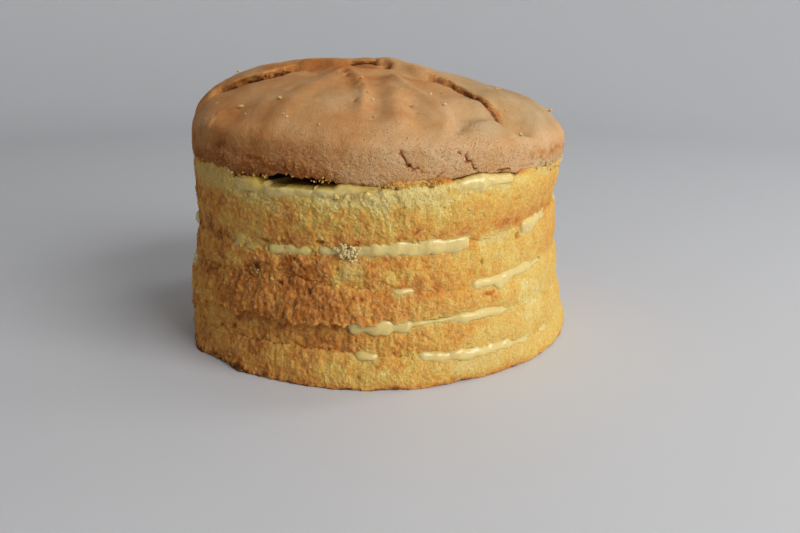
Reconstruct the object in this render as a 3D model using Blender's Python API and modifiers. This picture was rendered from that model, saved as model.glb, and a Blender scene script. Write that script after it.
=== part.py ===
"""Layer cake: five sponge layers, custard between them, and a domed top layer with a browned crust.

Metres, +Z up. The origin is on the surface the cake stands on, under the middle of its box.
The front faces -Y. Angles go round from the front, in degrees, and grow towards +X.
"""

import math

import bpy

MM = 0.001

# Driving dimensions
BASE_RADIUS = 100 * MM
WAIST_RADIUS = 93.3 * MM
WAIST_HEIGHT = 65 * MM
CRUST_RADIUS = 95.5 * MM
CRUST_HEIGHT = 90 * MM
TOTAL_HEIGHT = 138 * MM
LEAN = 2 * MM
UNEVENNESS = 0.5 * MM

# How far the base spreads out over the plate at these angles, in mm, and how high the spread goes
SPREAD_ANGLES = (-180, -110, -88, -72, -66, -58, -52, -46, -38, -30, -8, 10, 24, 36, 50, 180)
SPREAD = (0, 0, 3.4, 0, 2.6, 4.2, 2.0, 0.8, 2.8, 1.4, 1.4, 0.6, -0.8, -1.6, 0, 0)
SPREAD_HEIGHT = 10 * MM

CUSTARD_THICKNESS = 3 * MM
CUSTARD_SETBACK = 2.2 * MM
CUSTARD_LIP = 3.2 * MM
CUSTARD_NOSE = 0.4 * MM
EDGE_WEAR = 3 * MM
BELLY = 0.6 * MM
GAP = 0.3 * MM

SPONGE_STEPS = 60
DOME_STEPS = 120

# Middle of each custard seam at the side, in mm above the base, at these angles round the cake.
SEAM_ANGLES = (-135, -75, -45, -20, 0, 27, 50, 80, 130, 180)
SEAM_HEIGHTS = (
    (13.0, 11.5, 15.0, 16.0, 15.0, 13.0, 11.0, 12.5, 14.5, 15.0),
    (28.0, 24.5, 29.5, 31.5, 29.0, 30.0, 27.5, 28.5, 30.5, 29.5),
    (42.5, 38.0, 45.5, 47.5, 43.5, 42.5, 44.5, 46.5, 45.0, 44.0),
    (59.0, 56.5, 58.5, 60.5, 62.5, 64.0, 65.5, 67.0, 64.0, 61.5),
    (86.5, 86.0, 86.5, 87.0, 86.5, 88.0, 87.5, 86.0, 87.0, 87.5),
)
SEAM_MIDDLES = (13.7, 29.0, 44.3, 62.0, 87.0)

# Where custard bulges out of each seam: middle angle, half width in degrees, reach in mm.
BULGES = (
    ((-2, 7, 1.0), (25, 17, 1.8), (47, 9, 1.6), (105, 14, 1.2), (170, 20, 1.6), (-110, 12, 1.4)),
    (
        (-75, 9, 1.8), (7, 16, 2.0), (28, 14, 1.6), (43, 6, 1.0),
        (90, 12, 1.4), (150, 16, 1.8), (-140, 15, 1.6),
    ),
    ((-75, 8, 2.0), (8, 6, 1.0), (36, 15, 1.8), (115, 15, 1.5), (-165, 14, 1.4), (-110, 8, 1.2)),
    (
        (-36, 6, 1.6), (-21, 7, 1.4), (-9, 6, 1.4), (12, 16, 2.2), (47, 10, 2.0),
        (95, 18, 1.8), (160, 12, 1.4), (-125, 18, 1.8),
    ),
    (
        (-45, 19, 1.4), (0, 8, 1.0), (28, 15, 2.4), (57, 7, 1.8),
        (100, 16, 1.6), (150, 10, 2.0), (-160, 22, 1.6), (-100, 14, 1.8),
    ),
)

# Domed top layer
SIDE_OF_CRUST = 12 * MM
TOP_OF_SIDE = 1.0001
EDGE_HEIGHT = 104 * MM
EDGE_TILT = 4 * MM
FRONT_TOP = 135 * MM
ROUNDNESS = 0.6
DOME_RINGS = (0.985, 0.955, 0.91, 0.85, 0.77, 0.67, 0.56, 0.44, 0.31, 0.16)

# The front of the dome has sunk along a fault that crosses the top: its x, its y and the width
# over which the surface steps up behind it, in mm.
FAULT = (
    (-96, -26, 14),
    (-82, -20, 6),
    (-68, -17, 5),
    (-55, -18, 5),
    (-40, -13, 6),
    (-20, -12, 16),
    (0, -14, 20),
    (14, -21, 14),
    (26, -29, 6),
    (34, -33, 5),
    (41, -40, 5),
    (47, -52, 5),
    (54, -58, 7),
    (66, -54, 18),
    (96, -40, 26),
)

# Folds in the crust: depth and half width in mm, then the x, y points of the valley.
FOLDS = (
    (2.4, 6, ((5, -44), (18, -61), (29, -73), (35, -83), (35, -92))),
    (2.6, 7, ((36, -82), (44, -72), (52, -66), (60, -60), (72, -58))),
    (1.6, 9, ((-8, -26), (-19, -52), (-26, -74), (-32, -90))),
    (1.0, 9, ((-30, -22), (-52, -50), (-66, -66))),
    (1.6, 9, ((6, 22), (14, 52), (18, 88))),
    (1.4, 8, ((-14, 18), (-40, 48), (-58, 72))),
    (1.6, 8, ((26, 12), (52, 34), (78, 50))),
    (1.2, 9, ((-24, 2), (-56, 12), (-88, 20))),
    (1.2, 8, ((30, -8), (60, -8), (90, -12))),
)

# Swells of the crust: x, y, radius and height in mm.
SWELLS = (
    (44, -80, 15, 2.6),
    (20, -86, 12, 1.2),
    (-6, -70, 16, 1.0),
    (64, -36, 20, 1.6),
    (-62, 10, 24, 1.0),
    (34, 58, 22, 1.4),
    (-24, 62, 22, 1.2),
)

SPONGE_COLOUR = (0.60, 0.36, 0.10, 1)
CRUST_COLOUR = (0.42, 0.22, 0.10, 1)
CUSTARD_COLOUR = (0.80, 0.66, 0.28, 1)


def smooth_step(value):
    """0 below 0, 1 above 1, and an S-curve between."""
    value = min(max(value, 0.0), 1.0)
    return value * value * (3 - 2 * value)


def between(places, values, place):
    """The value at a place, eased between the two places on either side of it."""
    for low, high, first, second in zip(places, places[1:], values, values[1:]):
        if place <= high:
            return first + (second - first) * smooth_step((place - low) / (high - low))
    return values[-1]


def round_the_cake(values, angle):
    """The value at an angle of one that is listed at SEAM_ANGLES."""
    angles = (SEAM_ANGLES[-1] - 360,) + SEAM_ANGLES
    return between(angles, (values[-1],) + values, angle)


def angle_at(x, y):
    return math.degrees(math.atan2(x, -y))


def turn_between(angle, other):
    """How far apart two angles are, from 0 to 180 degrees."""
    return abs((angle - other + 180) % 360 - 180)


def side_radius(height, angle):
    """The radius of the side: a wide base, a narrower waist and a crust that stands a little proud."""
    if height < WAIST_HEIGHT:
        spread = (1 - max(height, 0) / WAIST_HEIGHT) ** 1.5
        radius = WAIST_RADIUS + (BASE_RADIUS - WAIST_RADIUS) * spread
    else:
        rise = smooth_step((height - WAIST_HEIGHT) / (CRUST_HEIGHT - WAIST_HEIGHT))
        radius = WAIST_RADIUS + (CRUST_RADIUS - WAIST_RADIUS) * rise
    turn = math.radians(angle)
    wave = math.sin(2 * turn + 0.6) + 0.7 * math.sin(3 * turn + 2.1) + 0.6 * math.sin(5 * turn)
    low = max(1 - max(height, 0) / SPREAD_HEIGHT, 0) ** 2
    return radius + UNEVENNESS * wave + between(SPREAD_ANGLES, SPREAD, angle) * low * MM


def lean_at(height):
    """The middle layers sit a little to the left of the base and the crust."""
    return -LEAN * math.sin(math.pi * min(max(height / CRUST_HEIGHT, 0), 1))


def seam_height(seam, share, angle):
    """The middle of a custard seam, at a share of the radius from the axis."""
    middle = SEAM_MIDDLES[seam]
    return (middle + (round_the_cake(SEAM_HEIGHTS[seam], angle) - middle) * share) * MM


def bulge_at(seam, angle):
    """How far the custard bulges at an angle: a share from 0 to 1, and its reach past the sponge."""
    share, reach = 0.0, 0.0
    for middle, half_width, furthest in BULGES[seam]:
        here = smooth_step(1.5 - 1.5 * turn_between(angle, middle) / half_width)
        if here > share:
            share, reach = here, furthest * MM
    return share, reach


def underside(layer, share, angle):
    """The bottom of a sponge layer: flat for the first, and just above the custard for the others."""
    if layer == 0:
        return 0.0
    return seam_height(layer - 1, share, angle) + CUSTARD_THICKNESS / 2 + GAP


def upper_side(layer, share, angle):
    return seam_height(layer, share, angle) - CUSTARD_THICKNESS / 2 - GAP


def distance_to_path(x, y, path):
    nearest = math.inf
    for (ax, ay), (bx, by) in zip(path, path[1:]):
        along = ((x - ax) * (bx - ax) + (y - ay) * (by - ay)) / ((bx - ax) ** 2 + (by - ay) ** 2)
        along = min(max(along, 0), 1)
        nearest = min(nearest, math.hypot(x - ax - along * (bx - ax), y - ay - along * (by - ay)))
    return nearest


def dome(share, edge, top, fullness):
    return edge + (top - edge) * (1 - share**fullness) ** ROUNDNESS


def crust_edge(angle):
    """Where the side of the top layer rounds over into the dome: lower on the right."""
    return EDGE_HEIGHT - EDGE_TILT * math.sin(math.radians(angle))


def crust_height(x, y, share):
    """The top of the dome: a raised back, a sunken front, folds that run to the rim, and swells."""
    angle = angle_at(x, y)
    right = math.sin(math.radians(angle))
    edge = crust_edge(angle)
    front = dome(share, edge, FRONT_TOP, 1.5 - 0.35 * right)
    back = dome(share, edge, TOTAL_HEIGHT, 2.15 - 1.0 * right)
    x, y = x / MM, y / MM
    fault_x, fault_y, fault_width = zip(*FAULT)
    width = between(fault_x, fault_width, x)
    behind = smooth_step(0.5 + (y - between(fault_x, fault_y, x)) / width)
    height = front + (back - front) * behind
    fade = 1 - smooth_step((share - 0.9) / 0.1)
    for depth, half_width, path in FOLDS:
        height -= depth * MM * fade * math.exp(-((distance_to_path(x, y, path) / half_width) ** 2))
    for swell_x, swell_y, radius, rise in SWELLS:
        height += rise * MM * fade * math.exp(-(math.hypot(x - swell_x, y - swell_y) / radius) ** 2)
    return max(height, edge)


def material(name, colour, roughness):
    made = bpy.data.materials.new(name)
    made.use_nodes = True
    shader = made.node_tree.nodes["Principled BSDF"]
    shader.inputs["Base Color"].default_value = colour
    shader.inputs["Roughness"].default_value = roughness
    shader.inputs["Metallic"].default_value = 0.0
    return made


def turned(name, profile, steps, shape, surface, collection):
    """Turns a profile, listed from the top of the axis down to its bottom, and then moves each
    point to where shape puts it."""
    outline = bpy.data.meshes.new(name + "_profile")
    edges = [(i, i + 1) for i in range(len(profile) - 1)]
    outline.from_pydata([(radius, 0, height) for radius, height in profile], edges, [])
    guide = bpy.data.objects.new(name + "_profile", outline)
    collection.objects.link(guide)
    turn = guide.modifiers.new("Turn", "SCREW")
    turn.steps = turn.render_steps = steps
    turn.use_merge_vertices = True
    turn.merge_threshold = 0.00001
    bpy.context.view_layer.update()
    evaluated = guide.evaluated_get(bpy.context.evaluated_depsgraph_get())
    mesh = bpy.data.meshes.new_from_object(evaluated)
    mesh.name = name
    bpy.data.objects.remove(guide)
    for vertex in mesh.vertices:
        vertex.co = shape(*vertex.co)
    mesh.materials.clear()
    mesh.materials.append(surface)
    mesh.shade_smooth()
    solid = bpy.data.objects.new(name, mesh)
    collection.objects.link(solid)
    return solid


def placed(radius, angle, height):
    """A point at a radius and an angle, moved by the lean of the cake at its height."""
    turn = math.radians(angle)
    return radius * math.sin(turn) + lean_at(height), -radius * math.cos(turn), height


def sponge_layer(layer, surface, collection):
    """A layer between two seams, with worn upper and lower edges."""
    thickness = (SEAM_MIDDLES[layer] - (SEAM_MIDDLES[layer - 1] if layer else 0)) * MM
    inner = 1 - EDGE_WEAR / BASE_RADIUS
    belly = 1 + BELLY / BASE_RADIUS
    wear = EDGE_WEAR / thickness
    foot_wear = wear / 3 if layer == 0 else wear
    foot_inner = 1 - EDGE_WEAR / 3 / BASE_RADIUS if layer == 0 else inner
    profile = (
        (0, 1),
        (inner, 1),
        (1, 1 - wear),
        (belly, 0.5),
        (1, foot_wear),
        (foot_inner, 0),
        (0, 0),
    )

    def shape(x, y, rise):
        share, angle = math.hypot(x, y), angle_at(x, y)
        low = underside(layer, min(share, 1), angle)
        height = low + (upper_side(layer, min(share, 1), angle) - low) * rise
        return placed(share * side_radius(height, angle), angle, height)

    return turned(f"sponge_{layer + 1}", profile, SPONGE_STEPS, shape, surface, collection)


def custard_seam(seam, surface, collection):
    """A thin layer of custard that is set back from the side, and bulges out of it in places."""
    web = 1 - EDGE_WEAR / BASE_RADIUS
    half = CUSTARD_THICKNESS / 2
    lip, nose = 1.0, 1.1
    profile = ((0, half), (web, half), (lip, half), (nose, 0), (lip, -half), (web, -half), (0, -half))

    def shape(x, y, rise):
        share, angle = math.hypot(x, y), angle_at(x, y)
        middle = seam_height(seam, min(share, 1), angle)
        side = side_radius(middle, angle)
        radius = share * side
        if share > (web + lip) / 2:
            bulge, reach = bulge_at(seam, angle)
            past_lip = CUSTARD_NOSE + reach * bulge if share > (lip + nose) / 2 else 0
            radius = side - CUSTARD_SETBACK * (1 - bulge) + past_lip
            rise *= 1 + (CUSTARD_LIP / half - 1) * bulge
        x, y, height = placed(radius, angle, middle)
        return x, y, height + rise

    return turned(f"custard_{seam + 1}", profile, SPONGE_STEPS, shape, surface, collection)


def domed_layer(surface, collection):
    """The top layer: a worn lower edge, an upright browned side, and a cracked, folded dome."""
    inner = 1 - EDGE_WEAR / CRUST_RADIUS
    wear = EDGE_WEAR / SIDE_OF_CRUST
    dome_profile = [(share, 1 + (1 - share**2) ** 0.5) for share in DOME_RINGS[::-1]]
    profile = [(0, 2)] + dome_profile + [(1, 1), (1, wear), (inner, 0), (0, 0)]

    def shape(x, y, rise):
        share, angle = math.hypot(x, y), angle_at(x, y)
        if rise > TOP_OF_SIDE:
            radius = share * side_radius(crust_edge(angle), angle)
            x, y, height = placed(radius, angle, CRUST_HEIGHT)
            return x, y, crust_height(x, y, share)
        low = underside(len(SEAM_MIDDLES), min(share, 1), angle)
        height = low + (crust_edge(angle) - low) * max(rise, 0)
        return placed(share * side_radius(height, angle), angle, height)

    return turned("sponge_top", profile, DOME_STEPS, shape, surface, collection)


def centre_over_origin(solids):
    """Moves the cake so that its box stands on the origin, with the origin in the middle."""
    points = [vertex.co for solid in solids for vertex in solid.data.vertices]
    middle_x = (min(p.x for p in points) + max(p.x for p in points)) / 2
    middle_y = (min(p.y for p in points) + max(p.y for p in points)) / 2
    for solid in solids:
        for vertex in solid.data.vertices:
            vertex.co.x -= middle_x
            vertex.co.y -= middle_y


def main():
    for old in list(bpy.data.objects):
        bpy.data.objects.remove(old)
    cake = bpy.data.collections.new("layer_cake")
    bpy.context.scene.collection.children.link(cake)
    sponge = material("sponge", SPONGE_COLOUR, 0.9)
    crust = material("crust", CRUST_COLOUR, 0.75)
    custard = material("custard", CUSTARD_COLOUR, 0.3)
    solids = [sponge_layer(layer, sponge, cake) for layer in range(len(SEAM_MIDDLES))]
    solids += [custard_seam(seam, custard, cake) for seam in range(len(SEAM_MIDDLES))]
    solids.append(domed_layer(crust, cake))
    centre_over_origin(solids)


main()
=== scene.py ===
"""Layer cake with five sponge layers, custard in the seams and a domed, browned top layer.

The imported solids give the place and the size. This script makes the surfaces that are seen: torn
crumb, custard that bulges and drips, a cracked crust and loose crumbs. Lengths are in millimetres
until a mesh is made, apart from the properties, the lights and the floor, which are in metres.
Angles go round from the front, in degrees, and grow towards +X.
"""

import itertools
import math

import bmesh
import bpy
import numpy as np
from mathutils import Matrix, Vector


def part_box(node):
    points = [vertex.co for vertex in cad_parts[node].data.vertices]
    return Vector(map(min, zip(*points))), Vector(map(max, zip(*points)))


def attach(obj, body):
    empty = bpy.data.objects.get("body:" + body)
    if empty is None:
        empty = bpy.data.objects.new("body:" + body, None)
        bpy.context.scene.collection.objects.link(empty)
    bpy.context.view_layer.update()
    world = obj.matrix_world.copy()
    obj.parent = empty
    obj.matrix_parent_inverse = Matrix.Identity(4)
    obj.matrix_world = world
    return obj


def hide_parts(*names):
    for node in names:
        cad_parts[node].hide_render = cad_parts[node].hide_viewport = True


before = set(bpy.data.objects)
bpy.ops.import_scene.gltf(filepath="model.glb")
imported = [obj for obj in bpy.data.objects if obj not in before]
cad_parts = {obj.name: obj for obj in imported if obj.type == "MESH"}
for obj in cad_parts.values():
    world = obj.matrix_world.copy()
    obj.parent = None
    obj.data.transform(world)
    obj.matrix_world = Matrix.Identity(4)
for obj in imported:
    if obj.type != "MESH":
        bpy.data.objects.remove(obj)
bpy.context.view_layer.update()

bl_info = {
    "name": "Layer Cake",
    "version": (1, 0, 0),
    "blender": (4, 5, 0),
    "location": "3D View > Sidebar > Cake",
    "description": "Sponge layers, custard, a cracked crust and crumbs around a packed layer cake",
    "category": "Add Mesh",
}

MM = 0.001

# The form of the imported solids
BASE_RADIUS = 100.0
WAIST_RADIUS = 93.3
WAIST_HEIGHT = 65.0
CRUST_RADIUS = 95.5
CRUST_HEIGHT = 90.0
LEAN = 2.0
UNEVENNESS = 0.5
EDGE_HEIGHT = 104.0
EDGE_TILT = 4.0
BACK_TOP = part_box("sponge_top")[1].z / MM
FRONT_TOP = BACK_TOP - 3.0
ROUNDNESS = 0.6

# Middle of each custard seam at the side, at these angles, and at the cake's axis
SEAM_ANGLES = (-135, -75, -45, -20, 0, 27, 50, 80, 130, 180)
SEAM_HEIGHTS = (
    (13.0, 11.5, 15.0, 16.0, 15.0, 13.0, 11.0, 12.5, 14.5, 15.0),
    (28.0, 24.5, 29.5, 31.5, 29.0, 30.0, 27.5, 28.5, 30.5, 29.5),
    (42.5, 38.0, 45.5, 47.5, 43.5, 42.5, 44.5, 46.5, 45.0, 44.0),
    (59.0, 56.5, 58.5, 60.5, 62.5, 64.0, 65.5, 67.0, 64.0, 61.5),
    (86.5, 86.0, 86.5, 87.0, 86.5, 88.0, 87.5, 86.0, 87.0, 87.5),
)
SEAM_MIDDLES = (13.7, 29.0, 44.3, 62.0, 87.0)
TOP_SEAM = len(SEAM_MIDDLES) - 1

# Custard that shows in each seam: middle angle, half width, reach past the sponge, and how far it
# goes above and below the middle of the seam
CUSTARD = (
    (
        (-1.5, 3.2, 0.5, 1.8, 1.6), (17, 5.5, 0.9, 2.0, 2.6), (27, 7, 1.2, 2.8, 3.2),
        (36, 5, 1.0, 3.2, 1.4), (43, 5, 0.6, 2.4, 0.8), (57, 3, 0.3, 2.0, 1.0),
        (97, 6, 0.7, 2.0, 1.6), (105, 6, 1.0, 2.6, 2.6), (112, 5, 0.6, 1.4, 1.6),
        (150, 3, 0.5, 1.4, 1.4), (162, 5, 0.8, 1.8, 2.0), (171, 5, 1.1, 2.6, 3.2),
        (179, 4, 0.6, 1.6, 1.4), (-82, 6, 0.4, 1.6, 1.0), (-111, 5, 0.9, 2.4, 2.4),
        (-119, 4, 0.5, 1.2, 1.8),
    ),
    (
        (0, 6, 1.3, 2.4, 4.6), (7, 4, 1.1, 1.6, 3.8), (14, 5, 0.7, 0.6, 1.8),
        (20, 3, 0.4, 0.6, 1.6), (26, 5, 1.1, 1.0, 3.2), (34, 6, 1.0, 2.2, 2.6),
        (41, 3, 0.7, 1.2, 1.0), (50, 2.4, 0.5, 2.4, 0.6), (-77, 7, 2.4, 4.0, 2.6),
        (84, 4, 0.6, 1.4, 1.8), (91, 4, 1.0, 2.6, 2.8), (97, 3, 0.5, 1.0, 1.4),
        (139, 4, 0.8, 1.8, 2.0), (147, 5, 1.2, 2.6, 3.6), (155, 5, 0.8, 1.6, 2.2),
        (163, 3, 0.4, 1.0, 1.2), (-150, 3, 0.5, 1.4, 1.4), (-142, 5, 1.1, 2.6, 3.0),
        (-134, 5, 0.6, 1.4, 1.8),
    ),
    (
        (9, 3.2, 0.5, 1.4, 1.6), (33, 5, 0.8, 2.2, 2.2), (38.5, 2.8, 1.3, 2.4, 5.4),
        (46, 7, 0.9, 2.6, 2.4), (55, 4, 0.4, 1.8, 1.0), (-77, 6, 1.6, 2.0, 3.2),
        (108, 4, 0.7, 2.0, 1.8), (116, 5, 1.1, 2.6, 3.4), (123, 4, 0.5, 1.2, 1.4),
        (-172, 5, 0.8, 1.6, 1.8), (-164, 4, 1.1, 2.6, 3.2), (-157, 4, 0.5, 1.4, 1.4),
        (-111, 5, 0.7, 1.8, 2.2),
    ),
    (
        (-24, 4.0, 0.9, 2.2, 2.8), (-19, 3, 0.4, 0.6, 2.2), (-16.5, 1.6, 0.5, 1.8, 2.8),
        (-10.5, 3.8, 0.8, 1.8, 2.8), (-1, 5.0, 0.9, 1.2, 4.4), (6, 6, 1.1, 3.2, 4.4),
        (13, 7, 1.2, 2.6, 4.2), (20, 6, 1.0, 2.2, 5.2), (25, 2.8, 1.4, 2.6, 4.6),
        (50.5, 4.2, 1.5, 2.6, 5.8), (57, 3.4, 0.9, 2.6, 0.4), (-83, 6, 1.4, 4.4, 1.4),
        (84, 4, 0.8, 1.8, 2.2), (92, 5, 1.2, 3.0, 4.2), (101, 5, 0.9, 1.8, 2.6),
        (109, 4, 0.5, 1.2, 1.4), (153, 4, 0.7, 1.6, 1.6), (161, 4, 1.1, 2.8, 3.4),
        (168, 3, 0.5, 1.2, 1.2), (-140, 4, 0.6, 1.4, 1.6), (-131, 5, 1.1, 2.8, 3.8),
        (-122, 5, 0.8, 2.0, 2.4), (-113, 4, 0.5, 1.2, 1.4),
    ),
    (
        (-35, 6, 0.3, 1.2, 3.4), (-24, 6, 0.6, 0.6, 5.0), (-17, 4, 0.5, 0.6, 3.8),
        (-11, 4, 0.6, 1.6, 4.2), (-5, 8, 0.1, 1.0, 1.4), (24.5, 4, 0.7, 2.4, 1.6),
        (28.6, 3, 1.7, 4.0, 4.4), (35, 6, 0.9, 3.6, 0.2), (-86, 5, 0.9, 2.6, 2.0),
        (90, 7, 0.6, 2.4, 1.4), (98, 7, 0.9, 2.8, 3.4), (107, 7, 0.5, 2.4, 1.6),
        (143, 7, 0.6, 2.8, 1.8), (149, 6, 1.0, 3.2, 4.0), (157, 7, 0.5, 2.6, 1.4),
        (-172, 8, 0.6, 2.6, 1.8), (-163, 6, 0.9, 2.8, 3.6), (-156, 7, 0.4, 2.8, 1.4),
        (-116, 7, 0.5, 2.8, 2.0), (-109, 6, 0.9, 3.0, 3.6), (-102, 6, 0.4, 2.8, 1.4),
    ),
)
# Custard smeared over the side: angle, height, half width and half height in mm, tilt in degrees,
# thickness, and how pale it is from 0 to 1
# Lower paleness at the left gives a deeper custard colour there, which is partly painted shade
SMEARS = (
    (-12, 85.6, 2.6, 1.2, -10, 0.6, 1.0), (-8.7, 84.8, 1.4, 1.8, 20, 0.5, 1.0),
    (-1, 85.6, 2.4, 1.5, 0, 0.6, 1.0), (-4.4, 82.2, 1.6, 1.2, 0, 0.4, 0.6),
    (6.5, 85.4, 1.6, 1.1, 0, 0.4, 0.7), (-42, 87.4, 0.9, 1.6, 20, 0.4, 0.5),
    (-38.5, 60.6, 4.4, 3.4, 10, 1.2, 0.2), (-34, 59.0, 4.6, 2.0, -12, 0.8, 0.1),
    (-17.5, 59.8, 1.6, 1.8, 30, 0.6, 0.6), (-26.5, 46.5, 1.2, 0.9, 0, 0.6, 0.4),
    (61, 67.6, 4.0, 1.2, 24, 0.8, 0.8), (26, 10.6, 8.0, 2.2, -4, 0.3, 0.4),
    (47, 12.6, 4.4, 1.2, -6, 0.3, 0.5), (110, 72.0, 4.5, 2.2, 5, 0.5, 0.6),
    (150, 57.0, 5.0, 2.2, 0, 0.5, 0.6), (-140, 83.0, 5.0, 2.4, 0, 0.6, 0.6),
    (-112, 57.0, 4.5, 2.2, 0, 0.5, 0.6), (175, 30.0, 5.5, 1.8, 0, 0.5, 0.6),
)
SMEAR_RINGS = 8
SMEAR_STEPS = 48
# How softly the custard's patches end in each seam, in degrees, and how much more softly they do
# farther round than BACK_FROM
PATCH_EASE = (3.0, 3.0, 3.0, 3.0, 6.0)
BACK_FROM = 64
BACK_EASE = 4.0
# How far custard that doesn't show stays behind the sponge, and half the gap between the layers
# there, which is below zero as they overlap
SETBACK = 2.2
THIN_SEAM = -0.4
# Steps over the custard's lip, the rings behind it, and half the thickness of the disc there
LIP_STEPS = 20
DISC_INSETS = (16.0, 12.0, 9.5)
HALF_DISC = 0.25

# How far each sponge layer is browned at its side, from 0 for pale crumb to 1, at these angles
BAKE_ANGLES = (-180, -120, -60, -35, -10, 5, 25, 45, 70, 120, 180)
# The higher values on the left, away from the light, are partly browning and partly painted shade
BAKE = (
    (0.50, 0.58, 0.68, 0.70, 0.50, 0.42, 0.46, 0.42, 0.40, 0.48, 0.50),
    (0.55, 0.60, 0.66, 0.72, 0.68, 0.50, 0.46, 0.42, 0.42, 0.50, 0.52),
    (0.54, 0.60, 0.64, 0.80, 0.80, 0.68, 0.46, 0.44, 0.46, 0.52, 0.54),
    (0.48, 0.56, 0.66, 0.70, 0.72, 0.60, 0.48, 0.46, 0.60, 0.48, 0.48),
    (0.44, 0.54, 0.74, 0.48, 0.42, 0.34, 0.42, 0.50, 0.56, 0.46, 0.44),
)
# How far each layer stands out from the side, at these angles
STEP_ANGLES = (-180, -120, -95, -80, -62, -35, -10, 5, 25, 45, 70, 120, 180)
STEP_OUT = (
    (0.2, 0.0, 0.0, 0.0, 0.0, 0.0, 0.0, 0.2, 0.3, 0.6, 0.3, 0.2, 0.2),
    (-0.2, 0.3, 0.6, 1.0, 0.4, -1.6, -2.0, -0.8, 0.2, 0.2, 0.0, 0.2, -0.2),
    (0.6, 0.4, 0.8, 1.2, 0.8, 1.4, 1.4, 0.6, 0.0, 0.0, 0.2, 0.4, 0.6),
    (0.2, 0.2, -0.4, -1.2, -0.4, 0.3, 0.0, 0.0, 0.2, 0.0, 0.4, 0.2, 0.2),
    (0.3, -0.4, -1.0, -1.2, -1.4, -0.5, 0.5, 0.9, 0.8, 0.2, -2.2, -0.6, 0.3),
)
# Patches of sponge that are paler (below zero) or more browned than the rest: angle, height, half
# width in angle and height, and how much
PATCHES = (
    (34, 54, 9, 5, -0.16), (36, 63, 6, 3, -0.24), (9, 50, 4, 4, -0.14), (9, 85, 13, 5, -0.16),
    (40, 71, 15, 3, 0.10), (28, 36, 9, 3, 0.10), (33.5, 38.2, 2, 1, 0.32), (51, 29, 7, 9, -0.20),
    (46, 26, 1.6, 1.6, 0.26), (54, 42, 6, 6, -0.12), (29, 7, 6, 3, -0.10), (6, 6, 8, 4, -0.10),
    (-8, 6, 8, 5, -0.12), (-48, 71, 1.4, 1.4, 0.20), (-62, 64, 9, 7, -0.14),
    (-44, 68, 12, 4, -0.08), (-21, 53, 5, 3, 0.08), (-6, 49, 5, 6, -0.24), (-12, 79, 5, 5, -0.14),
    (-30, 79, 6, 4, -0.16), (-42, 76, 7, 4, 0.14), (-24, 71, 5, 3, 0.12), (-16, 68, 4, 2.5, 0.14),
    (-40, 53, 6, 3, -0.12), (-30, 51, 5, 3, 0.12), (-56, 44, 8, 4, 0.12), (-52, 24, 10, 7, -0.10),
    (-76, 76, 5, 4, 0.16), (-78, 50, 5, 5, 0.20), (-78, 33, 5, 4, 0.16), (40, 85, 6, 4, -0.12),
    (62, 78, 10, 8, 0.06), (140, 52, 14, 8, -0.14), (-150, 76, 12, 6, -0.14),
    (-120, 30, 12, 7, 0.10), (170, 22, 14, 6, -0.12), (100, 74, 10, 6, 0.08),
)
# Holes in the crumb, painted dark as shade: angle, height, half width and half height in mm
HOLES = (
    (-30, 62.5, 1.7, 0.8), (-13, 64.2, 1.6, 0.7), (-24, 45.4, 1.0, 0.7), (-15.5, 43.0, 0.8, 1.2),
    (-48, 17.0, 0.8, 1.0), (-42, 19.2, 1.3, 0.8), (14.5, 88.6, 0.9, 0.6), (6, 88.2, 1.0, 0.6),
    (45, 61.0, 1.6, 1.2), (31, 52.5, 0.6, 1.4), (-43, 81.0, 0.8, 0.7), (160, 70.0, 1.0, 0.8),
    (-130, 48.0, 1.2, 0.8), (110, 24.0, 1.0, 0.8),
)
# Crumb that custard has been rubbed over, and one wide patch of painted shade: angle, height, half
# width in angle and height, how much
RUBBED_AND_SHADED = (
    (37, 62.5, 6, 4, 0.8), (-54, 87, 14, 5, 0.9), (-36, 86, 8, 4, 0.9), (5, 83.6, 15, 3.4, 0.6),
    # The wide patch at 62 degrees is painted shade that darkens and dulls the lit right side
    (-56, 85, 12, 4, 0.5), (62, 45, 26, 60, 0.4), (46, 18, 24, 16, 0.5), (16, 34, 16, 5, 0.35),
    (30, 8.4, 14, 4, 0.7), (56, 34, 8, 5, 0.6), (-38, 60, 8, 3, 0.6), (-5, 54, 4, 7, 0.6),
    (60, 90, 10, 4, 0.8),
)
# How deep the upright grooves in each layer are, and how rough its crumb is
STREAKS = (0.25, 0.55, 0.6, 0.35, 0.1)
ROUGHNESS = (0.9, 1.2, 1.3, 1.2, 1.1)
# Each layer's crumb is cut from the noise this much higher, so that it doesn't repeat
LAYER_SHIFT = 37.0
# The layer whose lower edge hangs over the one below, and how far, at the left
HANGING_LAYER = 2
OVERHANG = 2.9
# How far each layer bulges halfway up, and the depth of the holes
BELLY = 1.2
HOLE_DEPTH = 1.6

# Lower edge of the browned crust, at these angles
FOOT_ANGLES = (
    -180, -120, -75, -56, -44, -38, -30, -24, -17, -12, -6, 0, 6, 12, 17, 22, 28, 33, 42, 50, 56, 66,
    78, 100, 140, 180,
)
FOOT_HEIGHTS = (
    91.2, 92.0, 91.6, 91.8, 91.8, 90.3, 91.0, 92.4, 91.8, 90.4, 89.8, 89.2, 88.7, 89.6, 90.3, 91.0,
    92.4, 91.6, 90.9, 90.2, 88.9, 88.2, 88.4, 90.4, 92.0, 91.2,
)
# The gap under the crust: its middle, half width and ease in degrees
HOLLOW = (-20.5, 11, 4)

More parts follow.
